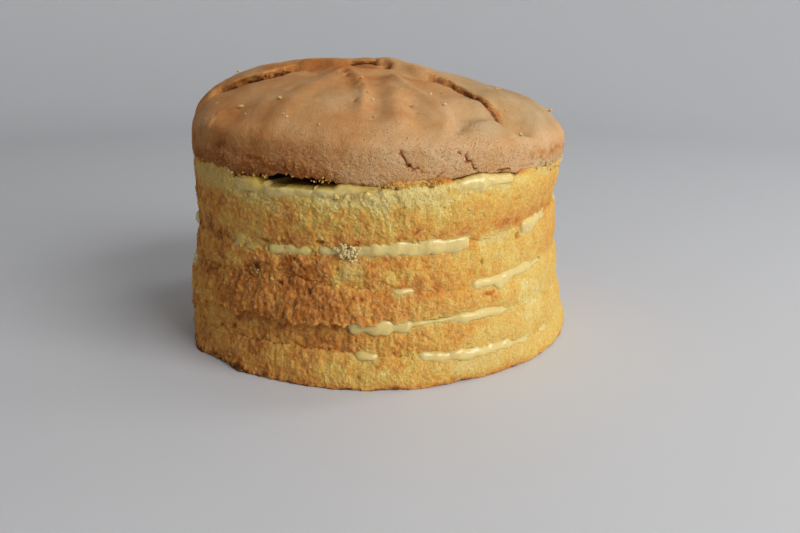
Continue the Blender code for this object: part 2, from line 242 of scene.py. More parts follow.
# The fault across the dome: x, y, width of the step where the crust isn't torn, and how far it is
# torn open, from 0 to 1
FAULT = (
    (-96, -27, 14, 0.0), (-84, -20, 8, 0.0), (-78, -18, 6, 0.2), (-74, -17, 5, 1.0),
    (-66, -17, 5, 1.0), (-55, -19, 5, 0.8), (-47, -16, 6, 0.5), (-41, -9, 6, 0.35),
    (-35, -8, 9, 0.0), (-22, -10, 14, 0.0), (-15, -9, 6, 0.15), (-10, -7, 5, 0.8), (-4, -7, 5, 0.7),
    (2, -10, 6, 0.15), (10, -18, 10, 0.0), (22, -27, 8, 0.0), (27, -29, 6, 0.3), (34, -33, 5, 0.32),
    (39, -39.5, 5, 0.38), (46, -49.5, 5, 0.42), (50, -54.0, 5, 0.4), (55, -56.5, 5, 0.35),
    (60, -56, 7, 0.0), (68, -50, 16, 0.0), (96, -40, 26, 0.0),
)
# Across the fault, from the sunken front to the raised back: the place on an even grid, where it
# goes, the share of the rise, the share of the depth of the gap at the foot of the wall, where the
# torn wall is, and how much painted shadow darkens it
TEAR_PLACES = (-22, -8, -5, -3.4, -1.8, 0.4, 2.6, 4.6, 6.2, 8.0, 11, 18, 32)
TEAR_GOES_TO = (-22, -3.4, -1.3, -0.6, -0.1, 0.0, -0.15, -0.35, -0.2, 0.6, 3.6, 13, 32)
TEAR_RISE = (0.0, 0.0, 0.0, 0.02, 0.08, 0.2, 0.34, 0.46, 0.53, 0.58, 0.68, 0.86, 1.0)
TEAR_GAP = (0.0, 0.0, 0.3, 0.9, 1.0, 0.5, 0.15, 0.0, 0.0, 0.0, 0.0, 0.0, 0.0)
TEAR_WALL = (0.0, 0.0, 0.1, 0.8, 1.0, 1.0, 1.0, 0.8, 0.2, 0.0, 0.0, 0.0, 0.0)
TEAR_PAINTED_SHADOW = (0.0, 0.0, 0.4, 1.0, 1.0, 0.9, 0.4, 0.1, 0.0, 0.0, 0.0, 0.0, 0.0)
GAP_DEPTH = 3.0

# Folds in the crust: depth, which is below zero for a ridge, half width, then x, y points
FOLDS = (
    (2.2, 6, ((16, -68), (20, -82), (20, -92))),
    (-1.7, 3.0, ((9, -38), (14, -49), (20, -58), (26, -65), (31, -71), (32, -78), (29, -90))),
    (2.0, 5, ((34, -76), (32, -86), (33, -94))),
    (2.4, 5, ((37, -80), (42, -72), (50, -65), (56, -60), (72, -59))),
    (-1.6, 6, ((34, -62), (45, -56), (52, -50))), (-1.3, 5, ((5, -34), (8, -58), (11, -84))),
    (-1.5, 2.6, ((-11, -32), (-8, -42), (-6, -52), (-3.5, -62), (-4.5, -76))),
    (0.7, 4, ((-14, -40), (-11, -52), (-11, -78))),
    (-1.4, 6, ((-15, -24), (-26, -46), (-34, -62), (-40, -76))),
    (0.9, 8, ((-24, -34), (-38, -58), (-50, -72))), (1.8, 10, ((-30, -22), (-52, -50), (-66, -66))),
    (1.4, 6, ((2, -30), (3, -56), (1, -80))), (1.8, 9, ((6, 22), (14, 52), (18, 88))),
    (1.6, 8, ((-14, 18), (-40, 48), (-58, 72))), (1.8, 8, ((26, 12), (52, 34), (78, 50))),
    (1.4, 9, ((-24, 2), (-56, 12), (-88, 20))), (1.4, 8, ((30, -8), (60, -8), (90, -12))),
    (1.3, 5, ((-4, 6), (-22, 30), (-30, 60))), (1.2, 5, ((16, 4), (34, 22), (50, 60))),
)
# Swells of the crust, and dips where they are below zero: x, y, radius and height
SWELLS = (
    (49, -77, 12, 4.0), (20, -86, 12, 1.6), (-6, -70, 16, 1.4), (14, -62, 7, 1.2),
    (66, -36, 20, 1.6), (-62, 10, 24, 1.0), (34, 58, 22, 1.4), (-24, 62, 22, 1.2),
    (-80, -27, 7, 1.6), (-88, -13, 9, -1.2), (-88, 8, 8, -1.4), (78, -16, 22, 3.4),
    (64, -54, 9, -4.6), (79, -46, 7, 1.6), (53, -74, 5, 1.6), (-42, -46, 20, 1.4),
    (2, -36, 6, -0.8), (60, -44, 8, 2.0), (-15, -13, 3.5, -2.0), (18, -34, 6, -0.9),
    (-66, -62, 12, -1.4),
)
# Narrow cracks on the dome: depth, half width, then x, y points
TOP_CRACKS = (
    (1.0, 0.5, ((24, -60), (26.5, -63), (29, -65.5))), (0.9, 0.5, ((66, 20), (58, 34), (46, 44))),
    (0.9, 0.5, ((-30, 50), (-38, 62), (-40, 74))),
)
# Narrow cracks on the side: depth, half width, then points as angle, height
SIDE_CRACKS = (
    (1.2, 0.8, ((6.8, 104.3), (6.9, 102.2), (8.2, 99.9), (9.1, 97.6))),
    (1.0, 0.5, ((9.1, 97.6), (9.8, 96.6), (11, 95.7))),
    (0.4, 0.25, ((11, 95.7), (13.6, 94.5), (15, 93.6))),
    (1.0, 0.5, ((21.8, 102), (23.5, 100.3), (24, 98.8))),
    (1.4, 0.75, ((24, 98.8), (25.2, 97.9), (26.3, 95.9), (27, 94.2))),
    (1.2, 0.7, ((33.6, 91.8), (35.5, 92.6), (38, 92.6))), (0.9, 0.6, ((16.2, 92.2), (17.4, 93.6))),
    (1.0, 0.5, ((-150, 102), (-147, 98), (-149, 93))), (1.0, 0.5, ((118, 101), (121, 97), (120, 93))),
    (1.0, 0.5, ((172, 102), (175, 99), (174, 94))),
)
# Dents at the left above the lower edge, and swells where they are below zero: angle, height, half
# width and half height in mm, and depth
WRINKLES = (
    (-58, 106, 3.4, 3.2, 0.8), (-50, 101, 2.6, 1.6, 0.8), (-46, 103.5, 4.0, 2.2, 1.0),
    (-40, 100.5, 2.6, 1.4, 0.7), (-33, 98.6, 5.0, 0.9, 0.8), (-65, 103, 2.0, 2.6, 0.7),
    (-54, 111, 3.6, 3.0, -0.7), (-44, 98.5, 5.0, 2.0, -0.7), (-51, 100.5, 3.2, 1.8, -0.9),
)
# The part of the dome's ridge that is redder: x, y points
RED_RIDGE = ((-52, -12), (-36, -8), (-20, -12), (-6, -17))
# How far from a crack its mesh is drawn towards it, and by what share of the way
CROWDING_REACH = 3.2
CROWDING = 0.72
# Pits in the crust, dented and painted dark as shade: x, y and radius
PITS = (
    (-15, -31, 1.6), (-13.5, -37, 0.8), (-6, -56, 0.9), (-3, -65, 0.7), (-8, -72, 0.7),
    (-21, -30, 0.8), (4, -16, 1.9), (-7, -46, 1.0), (-29, -19, 0.8), (-34, -13, 0.9),
    (16, -69, 0.7), (12, -36, 1.0), (60, -28, 1.0), (42, 20, 1.2), (-34, 34, 1.1), (-10, 44, 0.9),
)

# Crumbs that lie on the dome: x, y and radius
TOP_CRUMBS = (
    (-60, -54, 1.5), (-40, -62, 1.3), (-36, -79, 0.8), (-0.5, -70, 1.1), (25, -57, 1.2),
    (31, -68, 1.0), (19, -74, 0.9), (-38, -77, 0.7), (-57, -62, 0.6), (1, -82, 0.7), (12, -58, 0.8),
    (64, -66, 1.0), (58, -30, 0.8), (-74, -40, 0.7), (-6, -45, 0.6), (30, -50, 0.6), (14, -88, 0.6),
    (-22, -86, 0.7), (44, 40, 1.0), (-52, 34, 1.1), (-12, 66, 1.0), (20, 74, 0.9), (70, 12, 0.9),
    (-70, -6, 0.9), (2, 30, 0.7), (84, -22, 1.8),
)
# Clumps of crumb on the side: angle, height, half width in angle and height, how many, how large
# they are, how far they are browned, and how far they stand out
SIDE_CRUMBS = (
    (-25, 77, 3.0, 3.2, 110, 0.55, 0.1, 0.8), (-28.5, 80.0, 2.6, 2.0, 50, 0.5, 0.1, 0.7),
    (-22, 74.4, 1.6, 1.4, 26, 0.45, 0.0, 0.6), (5, 89.4, 7, 0.9, 70, 0.45, 0.45, 0.6),
    (12, 89.8, 6, 1.0, 60, 0.5, 0.4, 0.6), (-44, 82, 3.0, 1.4, 16, 0.6, 0.15, 0.9),
    (-35, 82, 3.0, 1.6, 12, 0.6, 0.15, 0.9), (-5.5, 61, 2.2, 2.6, 150, 0.75, 0.0, 2.2),
    (-4.5, 56.0, 1.8, 2.4, 26, 0.6, -0.1, 1.2), (-43, 91.0, 1.8, 1.2, 16, 0.7, 0.2, 0.6),
    (-86, 88, 5, 2.6, 14, 1.0, 0.1, 0.6), (88, 88, 3, 2.2, 8, 0.9, 0.1, 0.6),
    (-37, 89.5, 1.4, 1.6, 14, 0.5, 0.4, 0.6), (-13, 90.8, 3.0, 0.6, 12, 0.4, 0.45, 0.2),
    (-38, 49.8, 3.2, 1.6, 20, 0.6, 0.2, 0.6), (-31, 48.0, 2.0, 1.2, 9, 0.6, 0.2, 0.6),
    (-36, 20.4, 4.0, 1.2, 16, 0.6, 0.3, 0.6), (-29, 18.2, 2.4, 1.6, 8, 0.6, 0.3, 0.6),
    (-50, 11.5, 0.8, 0.8, 4, 0.6, 0.25, 0.6), (3, 46, 2.0, 2.0, 12, 0.5, 0.36, 0.6),
    (-4.2, 29.4, 1.4, 1.4, 16, 0.5, 0.2, 0.6), (14, 14, 2.6, 1.6, 12, 0.5, 0.36, 0.6),
    (47, 32, 2.0, 1.8, 10, 0.5, 0.22, 0.6), (60, 91, 3.6, 2.0, 26, 0.7, 0.16, 0.6),
    (50, 91, 3.0, 1.4, 12, 0.6, 0.22, 0.6), (16.5, 91.4, 2.0, 1.4, 26, 0.5, 0.5, 0.6),
    (150, 60, 5.0, 4.0, 30, 0.6, 0.16, 0.6), (-150, 44, 4.0, 3.0, 24, 0.6, 0.2, 0.6),
    (100, 30, 4.0, 3.0, 20, 0.6, 0.26, 0.6), (-110, 74, 4.0, 3.6, 26, 0.6, 0.14, 0.6),
    (175, 80, 4.0, 3.0, 24, 0.6, 0.14, 0.6),
)

# How many crumbs are tried along the lower edge of the crust
FOOT_CRUMBS = 520

# How far the base spreads out over the floor at these angles, and how high the spread goes
SPREAD_ANGLES = (-180, -110, -88, -72, -66, -58, -52, -46, -38, -30, -8, 10, 24, 36, 50, 180)
SPREAD = (0, 0, 3.4, 0, 2.6, 4.2, 2.0, 0.8, 2.8, 1.4, 1.4, 0.6, -0.8, -1.6, 0, 0)
SPREAD_HEIGHT = 10.0

# Points round a sponge layer and the rows down its side, with a rounded corner above and below and
# a flat ring that goes in behind each
SEGMENTS = 1200
ROW_STEP = 0.5
EDGE_ROUND = 1.5
CORNER_STEPS = 4
FLAT_INSETS = (12.0, 6.0, 3.0)
CUSTARD_SEGMENTS = 640
# The crust: an even grid over the dome, rows down its side, a rounded foot, then rings that go in
# and up below it, the last few of them without relief
DOME_CELLS = 230
SIDE_ROWS = 26
FOOT_ROUND = 1.3
FOOT_TURNS = (22, 45, 68, 90)
UNDERSIDE = ((4, 0.3), (7, 0.6), (11, 0.8), (17, 0.6))
UNDERSIDE_HEIGHT = SEAM_MIDDLES[TOP_SEAM] + 2.0
UNDERSIDE_INSET = 26.0
HIDDEN_RINGS = 3
# The x and y on the dome that points of its side are given, far from every fold and pit
OFF_THE_DOME = 999.0
# One degree round the crust, in mm
DEGREE = math.radians(1) * CRUST_RADIUS
UP = np.array((0.0, 0.0, 1.0))


def measure(name, description, value):
    """A length that a user can change, in metres."""
    return bpy.props.FloatProperty(name=name, description=description, default=value, unit="LENGTH")


class CakeSizes(bpy.types.PropertyGroup):
    """Sizes of the cake's surface detail."""

    grain: measure("Crumb grain", "Width of a grain of sponge", 0.0013)
    grain_relief: measure("Crumb relief", "How far grains stand out", 0.00042)
    streak_relief: measure("Streaks", "Depth of the upright grooves", 0.0006)
    pore: measure("Crust pores", "Width of a pore in the crust", 0.0013)
    custard_swell: measure("Custard swell", "Unevenness of the custard", 0.0006)


def colour(name, description, value):
    """A colour that a user can change."""
    return bpy.props.FloatVectorProperty(
        name=name, description=description, default=value, subtype="COLOR", min=0, max=1, size=3
    )


class CakeColours(bpy.types.PropertyGroup):
    """Colours of the cake and its stage."""

    crumb_pale: colour("Pale crumb", "Fresh inside of the sponge", (0.80, 0.67, 0.27))
    crumb_yellow: colour("Yellow crumb", "Sponge near the custard", (0.74, 0.51, 0.125))
    crumb_golden: colour("Golden crumb", "Most of the side", (0.72, 0.39, 0.085))
    crumb_amber: colour("Amber crumb", "Browned side of the sponge", (0.64, 0.265, 0.058))
    crumb_brown: colour("Brown crumb", "Most browned side", (0.40, 0.138, 0.028))
    crumb_dark: colour("Dark crumb", "Caramelised edge", (0.14, 0.045, 0.012))
    # Multiplies random specks, and is the painted shade in pores, holes, grooves and hollows
    speck_and_pore_shade: colour("Shaded crumb", "Tint of pores and hollows", (0.52, 0.38, 0.26))
    crumb_fleck: colour("Flecks", "Pale grains of the crumb", (0.80, 0.61, 0.30))
    crust_light: colour("Light crust", "Raised parts of the crust", (0.66, 0.45, 0.255))
    crust_tan: colour("Tan crust", "Most of the crust", (0.57, 0.318, 0.132))
    crust_brown: colour("Brown crust", "Lower part of the crust", (0.49, 0.198, 0.056))
    crust_red: colour("Red crust", "Lower edge of the crust", (0.37, 0.118, 0.026))
    # Also the painted shadow deep in tears and pits
    crust_dark_and_gap_shade: colour("Dark crust", "Most browned crust", (0.11, 0.032, 0.01))
    # Painted shade, multiplied into the crust high up on the right
    crust_painted_shade: colour("Dull crust", "Tints the crust high up on the right", (0.76, 0.84, 0.87))
    # The red inside the cracks, and painted shade in pores and pits
    crack_red_and_pore_shade: colour("Cracks", "Inside the cracks and pores of the crust", (0.40, 0.125, 0.03))
    tear_orange: colour("Torn crumb", "Wall of the open tear", (0.46, 0.19, 0.045))
    custard_light: colour("Custard", "Thick custard", (0.65, 0.50, 0.18))
    # Also painted shade: the custard at the left and behind the sponge's side
    custard_deep_and_shaded: colour("Deep custard", "Thin custard at the sponge", (0.565, 0.385, 0.07))
    # Also painted shade, which darkens and dulls the lit right side
    stained_and_shaded: colour("Stained crumb", "Sponge with custard smeared on it", (0.64, 0.455, 0.155))
    dry_cream: colour("Dry crumb", "Palest loose crumbs", (0.82, 0.68, 0.35))
    dry_tan: colour("Tan crumb", "Browned loose crumbs", (0.66, 0.43, 0.17))
    floor: colour("Floor", "Studio floor", (0.58, 0.595, 0.62))


class CakeStage(bpy.types.PropertyGroup):
    """Camera and light."""

    lens: bpy.props.FloatProperty(
        name="Lens", description="Focal length of the camera, in mm", default=35.13
    )
    camera_distance: measure("Camera distance", "From the cake's axis", 0.4118)
    camera_height: measure("Camera height", "Above the floor", 0.149)
    camera_aside: measure("Camera aside", "To the right of the cake", 0.0114)
    camera_pitch: bpy.props.FloatProperty(
        name="Camera pitch",
        description="Below the horizon",
        default=math.radians(16.58),
        subtype="ANGLE",
        unit="ROTATION",
    )
    key_power: bpy.props.FloatProperty(
        name="Key light", description="Power of the large light at the right", default=17.6, unit="POWER"
    )
    wall_power: bpy.props.FloatProperty(
        name="Wall light", description="Power of the light on the wall behind", default=8.6, unit="POWER"
    )
    ambient: bpy.props.FloatProperty(
        name="Ambient", description="Strength of the light from all round", default=0.185
    )


# Numbers


def smooth(value):
    """0 below 0, 1 above 1, and an S-curve between."""
    value = np.clip(value, 0.0, 1.0)
    return value * value * (3 - 2 * value)


def between(places, values, place):
    """Values listed at rising places, eased from one to the next."""
    places = np.asarray(places, float)
    values = np.asarray(values, float)
    place = np.clip(place, places[0], places[-1])
    low = np.clip(np.searchsorted(places, place, side="right") - 1, 0, len(places) - 2)
    share = (place - places[low]) / (places[low + 1] - places[low])
    return values[low] + (values[low + 1] - values[low]) * smooth(share)


def turn_between(angle, other):
    """How far apart two angles are, from 0 to 180 degrees."""
    return np.abs((angle - other + 180) % 360 - 180)


def near(turn, middle, reach, ease):
    """1 near an angle, easing to 0 at the reach."""
    return smooth((reach - turn_between(turn, middle)) / ease)


def bell(value, width):
    """1 where the value is 0, and close to 0 from twice the width."""
    return np.exp(-((value / width) ** 2))


def oval(turn, height, patch, degree=1.0):
    """How far points are from the middle of an oval patch, which is 1 at its edge. The patch is its
    angle, height, half width and half height, and a degree is the width's unit."""
    middle, level, half_width, half_height = patch
    return np.hypot(turn_between(turn, middle) * degree / half_width, (height - level) / half_height)


def hashed(cell, seed):
    """A repeatable random number from 0 to 1 for each whole-numbered cell."""
    key = cell[..., 0] * 73856093 ^ cell[..., 1] * 19349663 ^ cell[..., 2] * 83492791
    key = (key ^ seed * 374761393) & 0xFFFFFFFF
    for _ in range(2):
        key = (key >> 16 ^ key) * 0x45D9F3B & 0xFFFFFFFF
    return (key >> 16 ^ key) / 0x100000000


def noise(points, size, seed):
    """Smooth noise from about -1 to 1, with swells as wide as size."""
    place = points / size
    cell = np.floor(place).astype(np.int64)
    part = place - cell
    ease = part * part * part * (part * (part * 6 - 15) + 10)
    total = np.zeros(len(points))
    for corner in itertools.product((0, 1), repeat=3):
        weight = np.prod(np.where(corner, ease, 1 - ease), axis=1)
        way = part - corner
        slopes = [hashed(cell + corner, seed * 3 + axis) * 2 - 1 for axis in range(3)]
        total += weight * sum(slope * way[:, axis] for axis, slope in enumerate(slopes))
    return total * 1.6


def cells(points, size, seed):
    """Distance to the nearest of randomly placed middles, in sizes, and a random number for it."""
    place = points / size
    base = np.floor(place).astype(np.int64)
    nearest = np.full(len(points), 9.0)
    own = np.zeros(len(points))
    for move in itertools.product((-1, 0, 1), repeat=3):
        cell = base + move
        middle = np.stack([hashed(cell, seed * 3 + axis) for axis in range(3)], axis=1) + cell
        far = np.linalg.norm(middle - place, axis=1)
        closer = far < nearest
        nearest = np.where(closer, far, nearest)
        own = np.where(closer, hashed(cell, seed + 101), own)
    return nearest, own


def offset_to_path(x, y, path):
    """The way from each point to the nearest place on a line through the path's points."""
    best_x, best_y = np.full(np.shape(x), 1e6), np.full(np.shape(x), 1e6)
    for (ax, ay), (bx, by) in zip(path, path[1:]):
        length = (bx - ax) ** 2 + (by - ay) ** 2
        along = np.clip(((x - ax) * (bx - ax) + (y - ay) * (by - ay)) / length, 0, 1)
        way_x, way_y = ax + along * (bx - ax) - x, ay + along * (by - ay) - y
        nearer = np.hypot(way_x, way_y) < np.hypot(best_x, best_y)
        best_x, best_y = np.where(nearer, way_x, best_x), np.where(nearer, way_y, best_y)
    return best_x, best_y


def distance_to_path(x, y, path):
    """How far each point is from a line through the path's points."""
    return np.hypot(*offset_to_path(x, y, path))


def crowded(x, y, path, share):
    """Points drawn towards a path, so that a narrow crack along it has enough of them."""
    way_x, way_y = offset_to_path(x, y, path)
    pull = share * CROWDING * bell(np.hypot(way_x, way_y), CROWDING_REACH)
    return x + pull * way_x, y + pull * way_y


def unrolled(path):
    """A path of angles and heights, with the angles as lengths round the crust."""
    return [(angle * DEGREE, level) for angle, level in path]


# The cake's form


def find_axis():
    """Where the cake's axis meets the floor: below the vertex in the middle of the dome."""
    dome_points = [v.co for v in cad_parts["sponge_top"].data.vertices if v.co.z > EDGE_HEIGHT * MM]
    middle = min(dome_points, key=lambda co: math.hypot(co.x, co.y))
    return np.array((middle.x, middle.y, 0.0)) / MM


AXIS = find_axis()


def round_the_cake(values, turn):
    """Values that are listed at SEAM_ANGLES."""
    return between((-180,) + SEAM_ANGLES, (values[-1],) + tuple(values), turn)


def side_radius(height, turn):
    """The radius of the side: a wide base, a narrower waist and a crust that stands a little proud."""
    spread = np.clip(1 - np.maximum(height, 0) / WAIST_HEIGHT, 0, 1) ** 1.5
    below = WAIST_RADIUS + (BASE_RADIUS - WAIST_RADIUS) * spread
    rise = smooth((height - WAIST_HEIGHT) / (CRUST_HEIGHT - WAIST_HEIGHT))
    angle = np.radians(turn)
    wave = np.sin(2 * angle + 0.6) + 0.7 * np.sin(3 * angle + 2.1) + 0.6 * np.sin(5 * angle)
    low = (1 - np.clip(height / SPREAD_HEIGHT, 0, 1)) ** 2
    spread = between(SPREAD_ANGLES, SPREAD, turn) * low
    return below + (CRUST_RADIUS - WAIST_RADIUS) * rise + UNEVENNESS * wave + spread


def placed(radius, turn, height):
    """Points at a radius and an angle, moved by the lean of the cake at their height."""
    angle = np.radians(turn)
    lean = -LEAN * np.sin(math.pi * np.clip(height / CRUST_HEIGHT, 0, 1))
    radius, angle, height, lean = np.broadcast_arrays(radius, angle, height, lean)
    return np.stack([radius * np.sin(angle) + lean, -radius * np.cos(angle), height], axis=-1)


def seam_at(seam, turn):
    """Height of the middle of a seam at the side."""
    return round_the_cake(SEAM_HEIGHTS[seam], turn)


def hollow_at(turn):
    """1 where the crust stands clear of the custard, and 0 elsewhere."""
    middle, half_width, ease = HOLLOW
    return smooth((half_width - turn_between(turn, middle)) / ease + 0.5)


def custard_at(seam, turn):
    """Where custard shows: its share from 0 to 1, its reach, and how far it goes above and below."""
    share, reach, above, below = (np.zeros_like(turn) for _ in range(4))
    points = ring_points(turn, 20 + seam)
    swayed = turn + 0.9 * noise(points, 5.0, 58)
    for middle, half_width, out, up, down in CUSTARD[seam]:
        ease = PATCH_EASE[seam] + (BACK_EASE if abs(middle) > BACK_FROM else 0)
        here = smooth((half_width - turn_between(swayed, middle)) / ease + 0.5)
        share = np.maximum(share, here)
        reach = np.maximum(reach, here * out)
        above = np.maximum(above, here * up)
        below = np.maximum(below, here * down)
    if seam == TOP_SEAM:
        lid = between(FOOT_ANGLES, FOOT_HEIGHTS, turn) - 0.2 - seam_at(seam, turn)
        above = above + (lid - above) * share * (1 - hollow_at(turn))
    return share, reach, above, below


def crust_foot(turn):
    """The ragged lower edge of the crust."""
    points = ring_points(turn, 7)
    torn = near(turn, -25, 40, 12)
    ragged = (0.3 + 0.6 * torn) * noise(points, 1.9, 63) + 0.5 * noise(points, 6.0, 64)
    return between(FOOT_ANGLES, FOOT_HEIGHTS, turn) + ragged


def ring_points(turn, seed):
    """Points on a ring, so that noise along an edge closes on itself."""
    angle = np.radians(turn)
    height = np.full_like(angle, seed * 40.0)
    return np.stack([BASE_RADIUS * np.sin(angle), BASE_RADIUS * np.cos(angle), height], axis=-1)


# Meshes


def ring_quads(rings, count, start=0):
    """Faces between neighbouring rings of points that are listed from the top down."""
    first = np.arange(count)
    second = np.roll(first, -1)
    upper = (start + np.arange(rings - 1) * count)[:, None]
    lower = upper + count
    return np.stack([upper + first, lower + first, lower + second, upper + second], -1).reshape(-1, 4)


def fan(middle, ring, upwards):
    """Triangles from a ring to its middle point."""
    following = np.roll(ring, -1)
    middles = np.full_like(ring, middle)
    ends = (ring, following) if upwards else (following, ring)
    return np.stack([middles, *ends], axis=-1)


def normals_of(points, quads):
    """The way each point faces."""
    corners = points[quads]
    across = np.cross(corners[:, 2] - corners[:, 0], corners[:, 3] - corners[:, 1])
    total = np.zeros_like(points)
    for axis in range(3):
        for corner in range(4):
            total[:, axis] += np.bincount(quads[:, corner], across[:, axis], len(points))
    length = np.linalg.norm(total, axis=1, keepdims=True)
    return np.where(length > 0, total / np.maximum(length, 1e-9), UP)


def closed(points, quads, count, top, bottom):
    """Points and faces of a solid: rings of points, closed by a middle point at each end."""
    ring = np.arange(count)
    upper = fan(len(points), ring, True)
    lower = fan(len(points) + 1, len(points) - count + ring, False)
    return np.vstack([points, top, bottom]), quads.tolist() + upper.tolist() + lower.tolist()


def add_mesh(name, points, faces, surface):
    """Makes a smooth mesh object from points in metres."""
    mesh = bpy.data.meshes.new(name)
    mesh.from_pydata(points, [], faces)
    mesh.shade_smooth()
    mesh.materials.append(surface)
    made = bpy.data.objects.new(name, mesh)
    bpy.context.scene.collection.objects.link(made)
    return made


def make_solid(name, points, faces, surface, looks, stands_for=()):
    """Makes a piece from points in mm about the cake's axis, with a number for each look."""
    made = add_mesh(name, (points + AXIS) * MM, faces, surface)
    for look, values in looks.items():
        attribute = made.data.attributes.new(look, "FLOAT", "POINT")
        attribute.data.foreach_set("value", np.ascontiguousarray(values, np.float32))
    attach(made, "root")
    if stands_for:
        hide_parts(*stands_for)


def crumb_relief(points, streaks, rough, sizes):
    """Relief of torn sponge in mm, depth in a pore as painted shade, and a random tint."""
    grain = sizes.grain / MM
    sway = np.stack([noise(points, 6.5, seed) for seed in (10, 11, 12)], axis=1)
    far, own = cells(points + 0.6 * sway, grain, 3)
    holes, size = cells(points + 0.9 * sway, grain * 2.2, 5)
    clump_far, clump = cells(points + 0.8 * sway, grain * 1.8, 14)
    tuft = smooth((clump - 0.7) / 0.1) * smooth(1.1 - 1.9 * clump_far)
    column = np.abs(noise((points + 1.2 * sway) * (1, 1, 0.2), 4.4, 8))
    groove = bell(column, 0.09)
    medium = noise(points, 3.0, 7)
    fine = noise(points, 1.2, 13)
    pore = smooth((0.06 + 0.24 * size**2 + 0.10 * medium - holes) / 0.14)
    relief = sizes.grain_relief / MM * (0.8 * (0.5 - far) + fine + 0.8 * medium)
    relief += 0.4 * tuft + 0.1 * (clump - 0.5) - 0.5 * pore
    relief *= rough
    relief += 0.6 * noise(points, 11.0, 6) + 0.55 * rough * noise(points, 5.0, 9)
    relief += streaks * sizes.streak_relief / MM * (0.6 * smooth(2.5 * column) - groove)
    # Painted shade between grains, in pores and grooves, and in low spots
    hollow = 0.4 * smooth((far - 0.4) / 0.5) + 0.6 * pore + 0.24 * streaks * groove
    hollow = hollow * (1 - tuft) + 0.25 * smooth(-2 * fine)
    return relief, np.clip(hollow, 0, 1), own - 1.6 * tuft


# Materials


class Wire:
    """One output of a node. Arithmetic on it adds Math nodes."""

    def __init__(self, surface, socket):
        self.surface = surface
        self.socket = socket

    def maths(self, operation, first, second):
        """A Math node's result."""
        return self.surface.node("ShaderNodeMath", {0: first, 1: second}, operation=operation)

    def __add__(self, other):
        return self.maths("ADD", self, other)

    __radd__ = __add__

    def __sub__(self, other):
        return self.maths("SUBTRACT", self, other)

    def __rsub__(self, other):
        return self.maths("SUBTRACT", other, self)

    def __mul__(self, other):
        return self.maths("MULTIPLY", self, other)

    __rmul__ = __mul__


class Surface:
    """A material's nodes round its Principled BSDF."""

    def __init__(self, name, **constants):
        self.material = bpy.data.materials.new(name)
        self.material.use_nodes = True
        self.tree = self.material.node_tree
        self.shader = self.tree.nodes["Principled BSDF"]
        self.place = self.node("ShaderNodeTexCoord", {}, 3)
        self.set(**constants)

    def node(self, kind, sockets, output=0, **settings):
        """Adds a node with these settings, fills its sockets and returns one of its outputs."""
        made = self.tree.nodes.new(kind)
        for name, value in settings.items():
            setattr(made, name, value)
        for key, value in sockets.items():
            self.fill(made.inputs[key], value)
        return Wire(self, made.outputs[output])

    def fill(self, socket, value):
        """Links a wire to a socket, or sets the socket to a constant."""
        if isinstance(value, Wire):
            self.tree.links.new(value.socket, socket)
        elif socket.type == "RGBA" and len(value) == 3:
            socket.default_value = (*value, 1)
        else:
            socket.default_value = value

    def set(self, **inputs):
        """Fills the shader's inputs, whose names are given in lower case with underscores."""
        for key, value in inputs.items():
            self.fill(self.shader.inputs[key.replace("_", " ").title().replace("Ior", "IOR")], value)

    def look(self, name):
        """A number that is stored for each point of the mesh."""
        return self.node("ShaderNodeAttribute", {}, 2, attribute_name=name)

    def noise(self, size, detail=2.0, roughness=0.5):
        """Noise from 0 to 1 with swells as wide as size, in mm."""
        sockets = {"Vector": self.place, "Scale": 1 / (size * MM)}
        sockets |= {"Detail": detail, "Roughness": roughness}
        return self.node("ShaderNodeTexNoise", sockets)

    def grains(self, size, output=0):
        """Distance to the nearest of randomly placed middles, or its random number; size is in mm."""
        sockets = {"Vector": self.place, "Scale": 1 / (size * MM)}
        return self.node("ShaderNodeTexVoronoi", sockets, output)

    def ramp(self, value, *stops):
        """A colour that goes from one stop to the next as the value rises."""
        wire = self.node("ShaderNodeValToRGB", {0: value})
        elements = wire.socket.node.color_ramp.elements
        for _ in stops[2:]:
            elements.new(1)
        for element, (position, shade) in zip(elements, stops):
            element.position = position
            element.color = (*shade, 1)
        return wire

    def mask(self, value, low, high):
        """0 where the value is at low and 1 where it is at high."""
        sockets = {"Value": value, "From Min": low, "From Max": high}
        return self.node("ShaderNodeMapRange", sockets, interpolation_type="SMOOTHSTEP")

    def mix(self, share, first, second, blend="MIX"):
        """The first colour, with a share of the second in it."""
        sockets = {0: share, 6: first, 7: second}
        return self.node("ShaderNodeMix", sockets, 2, data_type="RGBA", blend_type=blend)

    def bump(self, height, distance):
        """Relief that is too fine for the mesh; distance is in mm."""
        return self.node("ShaderNodeBump", {"Height": height, "Distance": distance * MM})


